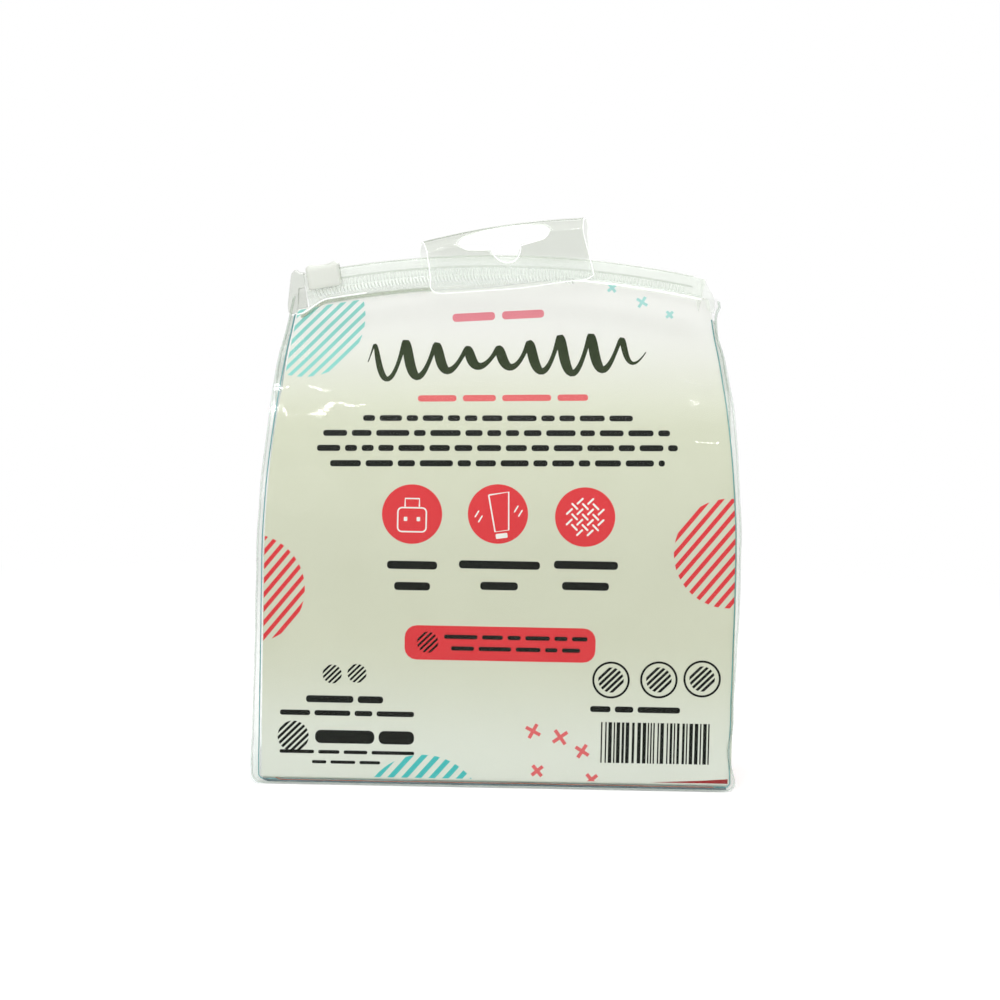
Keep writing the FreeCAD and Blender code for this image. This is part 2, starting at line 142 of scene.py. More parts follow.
# Grain of a surface: a tint that drifts over some millimetres, and a fine height
def makeGrain():
    group = bpy.data.node_groups.new("surfaceGrain", "ShaderNodeTree")
    color, number = "NodeSocketColor", "NodeSocketFloat"
    for label, kind, value in (("Light", color, (1, 1, 1, 1)), ("Dark", color, (0.8, 0.8, 0.8, 1)),
                               ("Coarse", number, 60.0), ("Fine", number, 2500.0),
                               ("Smooth", number, 0.3), ("Rough", number, 0.5)):
        socket = group.interface.new_socket(label, in_out="INPUT", socket_type=kind)
        socket.default_value = value
    for label, kind in (("Color", color), ("Height", number), ("Roughness", number)):
        group.interface.new_socket(label, in_out="OUTPUT", socket_type=kind)
    given = group.nodes.new("NodeGroupInput").outputs
    result = group.nodes.new("NodeGroupOutput").inputs
    place = addNode(group, "ShaderNodeTexCoord").outputs["Object"]
    drift, grain = (addNode(group, "ShaderNodeTexNoise", [(place, "Vector"), (given[scale], "Scale")],
                            Detail=detail).outputs["Fac"]
                    for scale, detail in (("Coarse", 3.0), ("Fine", 2.0)))
    group.links.new(addMix(group, "RGBA", drift, given["Light"], given["Dark"]), result["Color"])
    group.links.new(grain, result["Height"])
    group.links.new(addMix(group, "FLOAT", grain, given["Smooth"], given["Rough"]), result["Roughness"])
    return group


grainGroup = makeGrain()


# Painted light and shade: a colour that turns to lighter or darker shades between two heights of the part, in
# metres
def paintHeightLight(tree, color, lightBands):
    if lightBands:
        place = addNode(tree, "ShaderNodeTexCoord").outputs["Object"]
        height = addNode(tree, "ShaderNodeSeparateXYZ", [(place, "Vector")]).outputs["Z"]
    for (start, end), shade in lightBands:
        share = addSpan(tree, height, {"From Min": start, "From Max": end}, "SMOOTHSTEP")
        color = addMix(tree, "RGBA", share, color, linear(*shade))
    return color


# A material whose colour and roughness come from the grain, with any painted light by height laid on the
# colour
def grained(name, light, dark, coarse, fine, smooth, rough, lightBands):
    material, tree, shader = newMaterial(name)
    grain = addNode(tree, "ShaderNodeGroup", node_tree=grainGroup)
    setInputs(grain, {"Light": linear(*light), "Dark": linear(*dark), "Coarse": coarse, "Fine": fine,
                      "Smooth": smooth, "Rough": rough})
    tree.links.new(paintHeightLight(tree, grain.outputs["Color"], lightBands), shader.inputs["Base Color"])
    tree.links.new(grain.outputs["Roughness"], shader.inputs["Roughness"])
    return material, tree, shader, grain.outputs["Height"]


# Clear film: mostly see-through, denser where it is seen almost edge on
filmLook = {"grain": (45.0, 160.0), "blend": 0.25, "graze": 0.45}


def filmMaterial(name, light, dark, clear, edge, ior, smooth, rough, glow=0.0, lightBands=()):
    material, tree, shader, _ = grained(name, light, dark, *filmLook["grain"], smooth, rough, lightBands)
    facing = addNode(tree, "ShaderNodeLayerWeight", Blend=filmLook["blend"]).outputs["Facing"]
    density = addSpan(tree, facing, {"From Min": filmLook["graze"], "To Min": clear, "To Max": edge})
    tree.links.new(density, shader.inputs["Alpha"])
    setInputs(shader, {"IOR": ior, "Emission Color": (1, 1, 1, 1), "Emission Strength": glow})
    return material


# Films: light and dark tint, density straight and edge on, refraction, roughness from and to, glow; the glow
# is an emission that paints light into the weld ribs, the zip and the highlight lines
# The tab film is olive above its fold as painted fold shade, and pale below it
tabFoldShadeBands = [((0.1505, 0.1465), (240, 246, 240))]
films = {
    "clear": ("filmClear", (120, 132, 108), (102, 114, 92), 0.02, 0.4, 2.0, 0.012, 0.03),
    "edge": ("filmEdge", (120, 186, 186), (98, 164, 166), 0.75, 0.9, 1.6, 0.12, 0.2),
    "rim": ("filmRim", (226, 236, 228), (208, 222, 212), 0.35, 0.7, 1.8, 0.1, 0.2),
    "weld": ("filmWeld", (248, 252, 248), (240, 246, 240), 0.35, 0.65, 1.7, 0.15, 0.3, 0.1),
    "tab": ("tabClear", (142, 162, 114), (128, 148, 102), 0.12, 0.45, 2.4, 0.04, 0.08, 0.0, tabFoldShadeBands),
    # cut: white, glowing lines of painted highlight along the film's cut edges and the card's top
    "cut": ("filmEdgeHighlight", (252, 254, 252), (246, 250, 247), 0.9, 0.95, 1.6, 0.15, 0.3, 0.3),
    "zip": ("zipClear", (244, 249, 242), (230, 238, 226), 0.26, 0.72, 1.9, 0.06, 0.16, 0.07),
    "stop": ("stopClear", (172, 186, 156), (154, 168, 140), 0.24, 0.75, 1.8, 0.08, 0.2),
    "gusset": ("gussetClear", (186, 202, 184), (168, 188, 168), 0.18, 0.45, 2.0, 0.05, 0.12),
    "shade": ("filmShade", (160, 176, 148), (142, 160, 132), 0.35, 0.6, 1.6, 0.1, 0.2),
    # dusk: a darker sheet of painted shade under the zip's left flange
    "dusk": ("filmPaintedShade", (176, 190, 162), (162, 176, 148), 0.35, 0.5, 1.6, 0.1, 0.2),
    "foot": ("filmFoot", (92, 118, 124), (70, 96, 104), 0.75, 0.9, 1.6, 0.15, 0.3),
    "glow": ("filmGlow", (206, 122, 84), (190, 104, 70), 0.6, 0.8, 1.6, 0.15, 0.3),
}
film = {key: filmMaterial(*values) for key, values in films.items()}


def grainMaterial(name, light, dark, coarse, fine, smooth, rough, bump, distance, gloss=0.5, lightBands=()):
    material, tree, shader, height = grained(name, light, dark, coarse, fine, smooth, rough, lightBands)
    relief = addNode(tree, "ShaderNodeBump", [(height, "Height")], Strength=bump, Distance=distance)
    tree.links.new(relief.outputs["Normal"], shader.inputs["Normal"])
    shader.inputs["Specular IOR Level"].default_value = gloss
    return material


# The card is warm where it stands upright; painted light makes it paler at the foot, as if lit from the
# floor, and white towards the top, as if lit from above
cardPaintedLightBands = (((0.045, 0.005), (229, 235, 222)), ((0.1, 0.134), (252, 253, 248)))
# Firm pieces: light and dark tint, scale of drift and grain, roughness from and to, bump, its height, gloss
ink = (120, 3200, 0.5, 0.65, 0.1, 0.00008, 0.15)
silicone = (55, 2600, 0.5, 0.66, 0.16, 0.0002)
solids = {
    "slider": ("sliderWhite", (228, 231, 222), (220, 224, 214), 90, 1800, 0.28, 0.42, 0.08, 0.0002),
    "card": ("cardWhite", (217, 221, 198), (211, 215, 191), 70, 3200, 0.55, 0.75, 0.18, 0.00015, 0.15,
             cardPaintedLightBands),
    "board": ("cardBoard", (234, 234, 228), (226, 226, 219), 70, 2400, 0.6, 0.8, 0.2, 0.00015),
    "coral": ("inkCoral", (226, 65, 70), (220, 59, 65), *ink),
    "pink": ("inkPink", (244, 150, 160), (240, 140, 152), *ink),
    "teal": ("inkTeal", (84, 200, 197), (72, 190, 188), *ink),
    # The top disc's teal print, paled by a painted sheen where light falls on the upper card
    "tealPaintedSheen": ("inkTealPaintedSheen", (154, 224, 214), (144, 217, 208), *ink),
    "tealFaint": ("inkTealFaint", (184, 234, 228), (174, 228, 222), *ink),
    "coralPale": ("inkCoralPale", (230, 112, 112), (225, 102, 104), *ink),
    "dark": ("inkDark", (4, 8, 5), (9, 14, 10), *ink),
    "olive": ("inkOlive", (46, 56, 36), (58, 68, 46), *ink),
    "deep": ("inkDeep", (168, 62, 62), (150, 50, 52), *ink),
    "white": ("inkWhite", (246, 246, 240), (240, 240, 232), *ink),
    "tealBottle": ("siliconeTeal", (92, 192, 192), (80, 180, 182), *silicone),
    "whiteBottle": ("siliconeWhite", (240, 241, 238), (230, 232, 228), *silicone),
    "coralBottle": ("siliconeCoral", (224, 74, 80), (214, 64, 72), *silicone),
    "cap": ("capWhite", (245, 245, 243), (238, 239, 237), 80, 2200, 0.3, 0.45, 0.1, 0.00015),
    "seal": ("sealGrey", (196, 200, 202), (182, 187, 190), 90, 2600, 0.55, 0.7, 0.15, 0.0002),
    "valve": ("valveClear", (232, 236, 236), (220, 226, 226), 90, 2600, 0.35, 0.5, 0.1, 0.0002),
}
solid = {key: grainMaterial(*values) for key, values in solids.items()}
print("materials made")


# A piece from corners in millimetres
def addPiece(name, verts, faces, material, smooth=40.0):
    mesh = bpy.data.meshes.new(name)
    mesh.from_pydata([tuple(c * mm for c in v) for v in verts], [], faces)
    return addMesh(name, mesh, material, smooth)


def addMesh(name, mesh, material, smooth=40.0, body="pouch"):
    tidy = bmesh.new()
    tidy.from_mesh(mesh)
    bmesh.ops.recalc_face_normals(tidy, faces=tidy.faces)
    if tidy.calc_volume(signed=True) < 0:
        bmesh.ops.reverse_faces(tidy, faces=tidy.faces)
    tidy.to_mesh(mesh)
    tidy.free()
    mesh.materials.clear()
    mesh.materials.append(material)
    mesh.shade_smooth()
    mesh.set_sharp_from_angle(angle=math.radians(smooth))
    piece = addObject(name, mesh)
    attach(piece, body)
    return piece


def smoothStep(t):
    t = min(1.0, max(0.0, t))
    return t * t * (3 - 2 * t)


# Goes from 0 at the start to 1 after the run
def ramp(value, start, run):
    return smoothStep((value - start) / run)


def spaced(start, end, steps):
    return [start + (end - start) * k / steps for k in range(steps + 1)]


def arc(cx, cy, r, turns):
    return [(cx + r * math.cos(turn), cy + r * math.sin(turn)) for turn in turns]


# Pouch: sizes of the CAD walls, and the walls' shape as seen from the side and from the front
pouch = {"halfWidth": 68.1, "halfDepth": 22.0, "film": 0.4, "seam": 1.2, "footSeam": 0.9, "corner": 3.0,
         "bend": 0.6, "taper": 61.0, "sideRadius": 343.0, "leanStart": 66.0, "leanEnd": 128.18,
         "leanShare": 0.7, "topDepth": 2.0}
zipArch = {"radius": 280.0, "x": 2.0, "crown": 149.3, "filmDrop": 5.2, "cardDrop": 11.8, "gussetDrop": 11.4}
leanTurn = 2 * math.atan2(pouch["halfDepth"] - pouch["topDepth"], pouch["leanEnd"] - pouch["leanStart"])
leanTotal = (pouch["leanEnd"] - pouch["leanStart"]) / math.sin(leanTurn)
lowBend = leanTotal * pouch["leanShare"]
highBend = leanTotal - lowBend
leanLast = pouch["leanStart"] + leanTotal * leanTurn


# Depth and height of a wall at a way up along its surface, moved inwards by the inset
def wall(s, inset):
    start = pouch["leanStart"]
    if s < start:
        return pouch["halfDepth"] - inset, s
    turn = (s - start) / lowBend
    if turn < leanTurn:
        r = lowBend - inset
        return pouch["halfDepth"] - lowBend + r * math.cos(turn), start + r * math.sin(turn)
    turn = leanTurn - (s - start - lowBend * leanTurn) / highBend
    if turn > 0:
        r = highBend + inset
        return pouch["topDepth"] + highBend - r * math.cos(turn), pouch["leanEnd"] - r * math.sin(turn)
    return pouch["topDepth"] - inset, pouch["leanEnd"] + s - leanLast


# Depth of a wall at a height
def wallAt(z, inset):
    if z < pouch["leanStart"]:
        return pouch["halfDepth"] - inset
    if z > pouch["leanEnd"]:
        return pouch["topDepth"] - inset
    turn = math.asin(min(1.0, (z - pouch["leanStart"]) / (lowBend - inset)))
    if turn < leanTurn:
        return pouch["halfDepth"] - lowBend + (lowBend - inset) * math.cos(turn)
    r = highBend + inset
    turn = math.asin(min(1.0, (pouch["leanEnd"] - z) / r))
    return pouch["topDepth"] + highBend - r * math.cos(turn)


def footZ(inset):
    return max(inset - pouch["seam"] + pouch["footSeam"], 0.0)


# Half width of the pouch at a height
def sideX(z, inset):
    w = pouch["halfWidth"] - inset
    r = max(pouch["corner"] - inset, pouch["bend"])
    low = footZ(inset) + r
    if z < low:
        return w - r + math.sqrt(max(r * r - (low - z) ** 2, 0))
    if z < pouch["taper"]:
        return w
    return pouch["halfWidth"] - pouch["sideRadius"] + math.sqrt(
        (pouch["sideRadius"] - inset) ** 2 - (z - pouch["taper"]) ** 2)


# Height of the zip's arch at a drop below its crown line
def zipZ(x, drop):
    rise = math.sqrt((zipArch["radius"] - drop) ** 2 - (x - zipArch["x"]) ** 2)
    return zipArch["crown"] - zipArch["radius"] + rise


def topS(x, drop):
    return leanLast + zipZ(x, drop) - pouch["leanEnd"]


# Ways in which the soft edge of the pouch leaves its cut line: size, height and width of each
edgeWays = {1: [(0.4, 2.0, 3.0), (-1.2, 11.5, 5.0), (-0.9, 24.0, 20.0), (0.8, 109.0, 14.0), (1.9, 136.6, 2.4),
                (-0.6, 127.0, 4.0)],
            -1: [(0.8, 6.0, 14.0), (0.5, 26.0, 16.0), (0.7, 115.0, 10.0)]}
edgeForm = {"wave": 0.22, "length": 9.0, "seed": (7.0, 0.4), "foot": 8, "rim": (0.8, 0.2)}


def edgeShift(side, z):
    shift = sum(size * math.exp(-((z - height) / width) ** 2) for size, height, width in edgeWays[side])
    seed, row = edgeForm["seed"]
    wave = noise.noise((side * seed, z / edgeForm["length"], row))
    return shift + edgeForm["wave"] * wave * smoothStep(z / edgeForm["foot"])


# Place on a film: across from -1 to 1 and up from 0 to 1, as millimetres across and up along the wall
def filmPlace(u, v, drop):
    x = u * sideX(wall(v * topS(0, drop), 0)[1], 0)
    for _ in range(3):
        s = v * topS(x, drop)
        z = wall(s, 0)[1]
        x = u * sideX(z, 0)
    side = 1 if u > 0 else -1
    return x + side * edgeShift(side, z) * ramp(abs(u), *edgeForm["rim"]), s


# Waves of the films, calm along the welded rims, and a curl in the upper corners
filmWaves = {-1: {"size": 0.8, "ripple": 0.04, "seed": 1.7}, 1: {"size": 1.3, "ripple": 0.2, "seed": 9.2}}
filmForm = {"side": (3.0, 15), "foot": (4.0, 13), "top": (9.0, 20), "broad": (36, 27), "small": (13, 10),
            "slope": 0.7, "flutter": (8, 11), "curl": 0.7, "curlUp": (108, 26), "curlOut": (40, 18),
            "curlEnd": (-7, 5)}


def softNoise(x, s, spans, seed):
    return 0.5 + 0.5 * noise.noise((x / spans[0], s / spans[1], seed))


def filmLift(side, x, s):
    form, waves = filmForm, filmWaves[side]
    z = wall(s, 0)[1]
    inner = ramp(sideX(z, 0) - abs(x), *form["side"])
    inner *= ramp(s, *form["foot"]) * ramp(topS(x, zipArch["filmDrop"]) - s, *form["top"])
    broad = softNoise(x, s, form["broad"], waves["seed"])
    small = softNoise(x + form["slope"] * s, s, form["small"], waves["seed"] + 4)
    flutter = softNoise(x, s, form["flutter"], waves["seed"] + 8)
    curl = ramp(s, *form["curlUp"]) * ramp(abs(x), *form["curlOut"])
    curl *= 1 - ramp(z - zipZ(x, zipArch["filmDrop"]), *form["curlEnd"])
    return inner * (waves["size"] * broad + waves["ripple"] * small) + form["curl"] * curl * flutter


# The back film stands off the zip's web, where the card reaches up between them
topBulge = {"size": 0.75, "start": 18.0, "rise": 6.0, "shut": 6.6, "fade": 1.4, "side": (2.0, 8),
            "open": (12, 10)}


def bulge(x, s):
    inner = ramp(sideX(wall(s, 0)[1], 0) - abs(x), *topBulge["side"])
    inner *= 1 - ramp(s, topS(x, topBulge["shut"]), topBulge["fade"]) * (1 - ramp(x, *topBulge["open"]))
    return topBulge["size"] * inner * ramp(s, topS(x, topBulge["start"]), topBulge["rise"])


# A sheet with two faces and a rim, from two layers of points in rows
def closedSheet(outer, inner, cols, rows):
    wide = cols + 1
    count = wide * (rows + 1)
    faces = []
    for j in range(rows):
        for i in range(cols):
            a, b, c, d = j * wide + i, j * wide + i + 1, (j + 1) * wide + i + 1, (j + 1) * wide + i
            faces.append((a, b, c, d))
            faces.append((d + count, c + count, b + count, a + count))
    rim = list(range(wide)) + [j * wide + cols for j in range(1, rows + 1)]
    rim += [rows * wide + i for i in range(cols - 1, -1, -1)] + [j * wide for j in range(rows - 1, 0, -1)]
    for a, b in zip(rim, rim[1:] + rim[:1]):
        faces.append((b, a, a + count, b + count))
    return outer + inner, faces


filmCells = {"cols": 136, "rows": 150}


def filmSheet(name, side):
    cols, rows = filmCells["cols"], filmCells["rows"]
    layers = []
    for inset in (0.0, pouch["film"]):
        layer = []
        for v in spaced(0, 1, rows):
            for u in spaced(-1, 1, cols):
                x, s = filmPlace(u, v, zipArch["filmDrop"])
                off = bulge(x, s) if side < 0 else 0.0
                y, z = wall(s, inset - filmLift(side, x, s) - off)
                layer.append((x, side * y, z))
        layers.append(layer)
    verts, faces = closedSheet(*layers, cols, rows)
    return addPiece(name, verts, faces, film["clear"])


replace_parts(filmSheet("backFilm", -1), "back_panel")
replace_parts(filmSheet("frontFilm", 1), "front_panel")
print("films made")


# Faces between rings of corners, with both ends closed
def ringFaces(rings, sides, base=0):
    faces = []
    for k in range(rings - 1):
        for n in range(sides):
            a, b = base + k * sides + n, base + k * sides + (n + 1) % sides
            faces.append((a, b, b + sides, a + sides))
    last = base + (rings - 1) * sides
    return faces + [tuple(range(base, base + sides))[::-1], tuple(range(last, last + sides))]


tubeForm = {"sides": 8, "smooth": 60.0}


# A tube along points, with closed ends
def tube(name, points, radius, material):
    verts = []
    points = [Vector(p) for p in points]
    count = len(points)
    normal = None
    for k, p in enumerate(points):
        way = (points[min(k + 1, count - 1)] - points[max(k - 1, 0)]).normalized()
        if normal is None:
            normal = way.orthogonal().normalized()
        normal = (normal - way * normal.dot(way)).normalized()
        across = way.cross(normal)
        for turn in spaced(0, 2 * math.pi, tubeForm["sides"])[:-1]:
            verts.append(tuple(p + radius * (normal * math.cos(turn) + across * math.sin(turn))))
    return addPiece(name, verts, ringFaces(count, tubeForm["sides"]), material, tubeForm["smooth"])


# Where a side of the outline reaches the zip, to a tenth of a millimetre
def sideTop(side, inset, drop):
    return next(k / 10 for k in range(1001, 2000) if k / 10 > zipZ(side * sideX(k / 10, inset), drop))


outlineForm = {"step": 1.5, "corner": 8}


def outlineSteps(start, end):
    return spaced(start, end, int(abs(end - start) / outlineForm["step"]))


# The outline of the pouch from the left end of the zip, down, across and up to the right end
def outlinePath(inset, drop):
    r = max(pouch["corner"] - inset, pouch["bend"])
    foot, inner = footZ(inset), pouch["halfWidth"] - inset - r
    low = foot + r
    left, right = (sideTop(side, inset, drop) for side in (-1, 1))
    path = [(-sideX(z, inset), z, -1) for z in outlineSteps(left, low)[:-1]]
    turns = spaced(-quarter, 0, outlineForm["corner"])
    path += [(-x, z, -1) for x, z in arc(inner, low, r, turns[::-1])]
    path += [(x, foot, 0) for x in outlineSteps(-inner, inner)[1:-1]]
    path += [(x, z, 1) for x, z in arc(inner, low, r, turns)]
    return path + [(sideX(z, inset), z, 1) for z in outlineSteps(low, right)[1:]]


# Seams, a soft rim and a tinted line: inset, depth, radius, finish, drop and share of the edge's ways
seams = {"SeamRim": (0.25, 0.3, 0.3, "rim", 6.0, 1.0), "SeamLine": (1.5, 0.6, 0.17, "edge", 11.0, 0.3)}


def seamLine(name, side, inset, depth, radius, finish, drop, slack):
    points = []
    for x, z, end in outlinePath(inset, drop):
        shift = slack * end * edgeShift(end, z) if end else 0
        points.append((x + shift, side * wallAt(z, depth), max(z, radius)))
    return tube(name, points, radius, film[finish])


for label, side in bothSides:
    for part, values in seams.items():
        seamLine(label + part, side, *values)

# Foot, a dark line and a warm one above it, curled up at the left: height, radius, reach and finish
footLines = {"FootLine": (0.75, 0.28, 65.6, "foot"), "FootGlow": (1.2, 0.12, 62.0, "glow")}
footForm = {"depth": 0.3, "curl": 0.5, "run": 1.6, "wave": 0.15, "length": 22, "seed": 3.0, "steps": 80}


def footLine(name, side, height, radius, reach, finish):
    points = []
    for x in spaced(-reach, reach, footForm["steps"]):
        curl = footForm["curl"] * ramp(-x, reach - footForm["run"], footForm["run"])
        wave = footForm["wave"] * noise.noise((x / footForm["length"], side * footForm["seed"], height))
        points.append((x, side * wallAt(0.0, footForm["depth"]), height + curl + wave))
    return tube(name, points, radius, film[finish])


for label, side in bothSides:
    for part, values in footLines.items():
        footLine(label + part, side, *values)
print("seams made")

# Gusset: sides and floor in one strip, with the lips that are welded to both films
gusset = {"across": 22, "lips": 3, "thick": 0.35, "sag": 0.8, "bow": 0.9, "gap": 0.05, "lipGap": 0.2,
          "slack": 0.9, "round": 0.7, "full": 20, "spans": (30, 1.3, 24)}


def gussetStrip():
    path = outlinePath(pouch["seam"], zipArch["gussetDrop"])
    count = len(path)
    thick, depthIn = gusset["thick"], pouch["film"] + gusset["gap"]
    wide, beat, high = gusset["spans"]
    outer, inner = [], []
    for k, (x, z, end) in enumerate(path):
        x0, z0, _ = path[max(k - 1, 0)]
        x1, z1, _ = path[min(k + 1, count - 1)]
        length = math.hypot(x1 - x0, z1 - z0)
        ox, oz = (z1 - z0) / length, -(x1 - x0) / length
        seam = pouch["seam"] * ox ** 2 + pouch["footSeam"] * oz ** 2 - gusset["lipGap"]
        lips = {-1: [], 1: []}
        for side in lips:
            for n in range(gusset["lips"]):
                reach = seam * (1 - n / gusset["lips"])
                lx, lz = x + ox * reach, z + oz * reach
                shift = end * edgeShift(end, lz) * gusset["slack"] if end else 0
                places = [(lx + shift, side * wallAt(lz, depthIn + deep), lz) for deep in (0, thick)]
                lips[side].append(places)
        depth = wallAt(z, depthIn)
        span = []
        for t in spaced(-1, 1, gusset["across"]):
            swell = (1 - t * t) ** gusset["round"] * smoothStep(depth / gusset["full"])
            wave = 0.5 + 0.5 * noise.noise((x / wide, t * beat, z / high))
            push = swell * (gusset["bow"] * wave if end else gusset["sag"])
            span.append([(x + ox * off, t * (depth - deep), z + oz * off)
                         for off, deep in ((push, 0), (push - thick, thick))])
        row = lips[-1] + span + lips[1][::-1]
        outer += [pair[0] for pair in row]
        inner += [pair[1] for pair in row]
    verts, faces = closedSheet(outer, inner, len(outer) // count - 1, count - 1)
    return addPiece("gussetFilm", verts, faces, film["gusset"])


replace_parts(gussetStrip(), "gusset_strip")
print("gusset made")

# Card: a back sheet that bends at the foot into a flap under the bottles
card = {"near": 0.7, "thick": 0.5, "edge": 1.6, "square": 2, "shift": 0.4, "flapHalf": 65.6,
        "flapFront": 20.1, "floor": 1.3, "bend": 0.3, "cols": 90, "rows": 110, "flapRows": 30, "bendRows": 8,
        "raiseLeft": 2.2, "raiseRight": 6.4, "raise": (-12, 40), "out": 1.3, "printed": -0.2}
cardFoot = card["floor"] + card["thick"] + card["bend"]


def cardTop(x):
    rise = card["raiseLeft"] + (card["raiseRight"] - card["raiseLeft"]) * ramp(x, *card["raise"])
    return topS(x, zipArch["cardDrop"]) + rise


# The gap from the film to the card, less where the film stands off
def cardNear(s, x):
    return card["near"] - card["out"] * bulge(x, s)


def cardHalf(z):
    return sideX(max(z, card["edge"] + card["square"]), card["edge"])


def cardSheet():
    bendY = card["near"] + card["thick"] + card["bend"] - pouch["halfDepth"]
    across = spaced(-1, 1, card["cols"])
    layers = []
    for offset in (0.0, card["thick"]):
        r = card["bend"] + card["thick"] - offset
        flap = spaced(card["flapFront"], bendY, card["flapRows"])[:-1]
        turns = spaced(0, quarter, card["bendRows"])[:-1]
        rows = [(y, card["floor"] + offset) for y in flap]
        rows += [(bendY - r * math.sin(turn), cardFoot - r * math.cos(turn)) for turn in turns]
        layer = [(card["flapHalf"] * u, y, z) for y, z in rows for u in across]
        for v in spaced(0, 1, card["rows"]):
            for u in across:
                x = card["shift"] + u * cardHalf(wall(cardFoot + v * (cardTop(0) - cardFoot), 0)[1])
                for _ in range(3):
                    s = cardFoot + v * (cardTop(x) - cardFoot)
                    x = card["shift"] + u * cardHalf(wall(s, 0)[1])
                y, z = wall(s, cardNear(s, x) + offset)
                layer.append((x, -y, z))
        layers.append(layer)
    verts, faces = closedSheet(*layers, card["cols"], len(rows) + card["rows"])
    sheet = addPiece("cardSheet", verts, faces, solid["card"])
    sheet.data.materials.append(solid["board"])
    for face in sheet.data.polygons:
        face.material_index = 1 if face.normal.y > card["printed"] else 0  # bare board behind the print
    return sheet


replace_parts(cardSheet(), "insert_card")
print("card made")


# Print: flat outlines in card millimetres (across, up along the surface), pressed onto the card as thin ink
def disc(cx, cy, r, count=56):
    return arc(cx, cy, r, spaced(0, 2 * math.pi, count)[:-1])


def spun(shape, cx, cy, turn):
    c, s = math.cos(math.radians(turn)), math.sin(math.radians(turn))
    return [(cx + (x - cx) * c - (y - cy) * s, cy + (x - cx) * s + (y - cy) * c) for x, y in shape]


# The part of a shape on the near side of a line
def clipped(shape, nx, ny, d):
    kept = []
    for (ax, ay), (bx, by) in zip(shape, shape[1:] + shape[:1]):
        a, b = nx * ax + ny * ay - d, nx * bx + ny * by - d
        if a <= 0:
            kept.append((ax, ay))
        if a * b < 0:
            t = a / (a - b)
            kept.append((ax + (bx - ax) * t, ay + (by - ay) * t))
    return kept


markForm = {"hatches": 20, "rim": 0.2, "spare": 0.01, "round": 0.42}


def hatched(cx, cy, r, pitch, width, phase=0.0, turn=45.0):
    shapes = []
    nx, ny = math.sin(math.radians(turn)), -math.cos(math.radians(turn))
    base = nx * cx + ny * cy
    for n in range(-markForm["hatches"], markForm["hatches"] + 1):
        middle = (n + phase) * pitch
        shape = clipped(disc(cx, cy, r), nx, ny, base + middle + width / 2)
        if len(shape) > 2:
            shape = clipped(shape, -nx, -ny, -(base + middle - width / 2))
        if len(shape) > 2 and abs(middle) < r - markForm["rim"]:
            shapes.append(shape)
    return shapes


def roundBar(x0, x1, y0, y1, r, turn=0.0):
    r = min(r, (x1 - x0) / 2 - markForm["spare"], (y1 - y0) / 2 - markForm["spare"])
    shape = []
    for n, (cx, cy) in enumerate(((x1 - r, y1 - r), (x0 + r, y1 - r), (x0 + r, y0 + r), (x1 - r, y0 + r))):
        shape += arc(cx, cy, r, spaced(n * quarter, (n + 1) * quarter, 4))
    return spun(shape, (x0 + x1) / 2, (y0 + y1) / 2, turn)


# A cross of a middle square and four arms
def crossMark(cx, cy, size, width, turn):
    h, w = size / 2, width / 2
    shapes = []
    for x0, x1, y0, y1 in ((-w, w, -w, w), (w, h, -w, w), (-h, -w, -w, w), (-w, w, w, h), (-w, w, -h, -w)):
        corners = ((x0, y0), (x1, y0), (x1, y1), (x0, y1))
        shapes.append(spun([(cx + x, cy + y) for x, y in corners], cx, cy, turn))
    return shapes


# A row of bars of chance lengths, as words in a line
def wordBars(x0, x1, s, height, short=3.0, long=9.5, gap=1.3):
    shapes, x = [], x0
    while x < x1 - short / 2:
        end = min(x + draw.uniform(short, long), x1)
        if x1 - end < short:
            end = x1
        shapes.append(roundBar(x, end, s - height / 2, s + height / 2, height * markForm["round"]))
        x = end + gap
    return shapes


# Shapes turned together about the middle of their box
def turned(shapes, turn):
    spots = [p for shape in shapes for p in shape]
    cx = (min(x for x, _ in spots) + max(x for x, _ in spots)) / 2
    cy = (min(y for _, y in spots) + max(y for _, y in spots)) / 2
    return [spun(shape, cx, cy, turn) for shape in shapes]


def stroke(points, widths, closed=False):
    count = len(points)
    sides = []
    for k, (x, y) in enumerate(points):
        a = points[(k - 1) % count] if closed or k else points[0]
        b = points[(k + 1) % count] if closed or k < count - 1 else points[-1]
        length = math.hypot(b[0] - a[0], b[1] - a[1])
        nx, ny = -(b[1] - a[1]) / length, (b[0] - a[0]) / length
        w = (widths[k] if isinstance(widths, list) else widths) / 2
        sides.append(((x + nx * w, y + ny * w), (x - nx * w, y - ny * w)))
    if closed:
        sides.append(sides[0])
    return [[a[0], a[1], b[1], b[0]] for a, b in zip(sides, sides[1:])]


# Brush wave: a stroke that swells and thins as it goes up and down
brush = {"left": -39.0, "right": 40.0, "s": 124.8, "size": 5.2, "waves": 9, "steps": 22, "thin": 1.2,
         "thick": 2.9, "calm": 0.72, "swing": 0.28, "beat": 3.1, "start": 0.5, "lean": 0.9, "ahead": 0.9,
         "tip": 0.25, "taper": 6, "tilt": 3.1}


def brushWave():
    points, widths = [], []
    for t in spaced(0, 1, brush["steps"] * brush["waves"]):
        turn = 2 * math.pi * brush["waves"] * t
        swell = brush["calm"] + brush["swing"] * math.sin(brush["beat"] * math.pi * t + brush["start"])
        lean = brush["lean"] * math.sin(turn + brush["ahead"])
        x = brush["left"] + (brush["right"] - brush["left"]) * t + lean
        points.append((x, brush["s"] + brush["size"] * swell * math.sin(turn)))
        wide = brush["thin"] + (brush["thick"] - brush["thin"]) * (0.5 - 0.5 * math.cos(turn))
        widths.append(wide * min(1.0, brush["tip"] + brush["taper"] * min(t, 1 - t)))
    return turned(stroke(points, widths), brush["tilt"])


# Ink: how finely it follows the card, its depth and the height of each level, and its margins on the card
inkForm = {"step": 1.5, "sink": 0.05, "rise": 0.03, "merge": 0.0005, "cut": 0.00001, "side": 0.15,
           "foot": 0.1, "top": 0.25, "mark": 2.0}


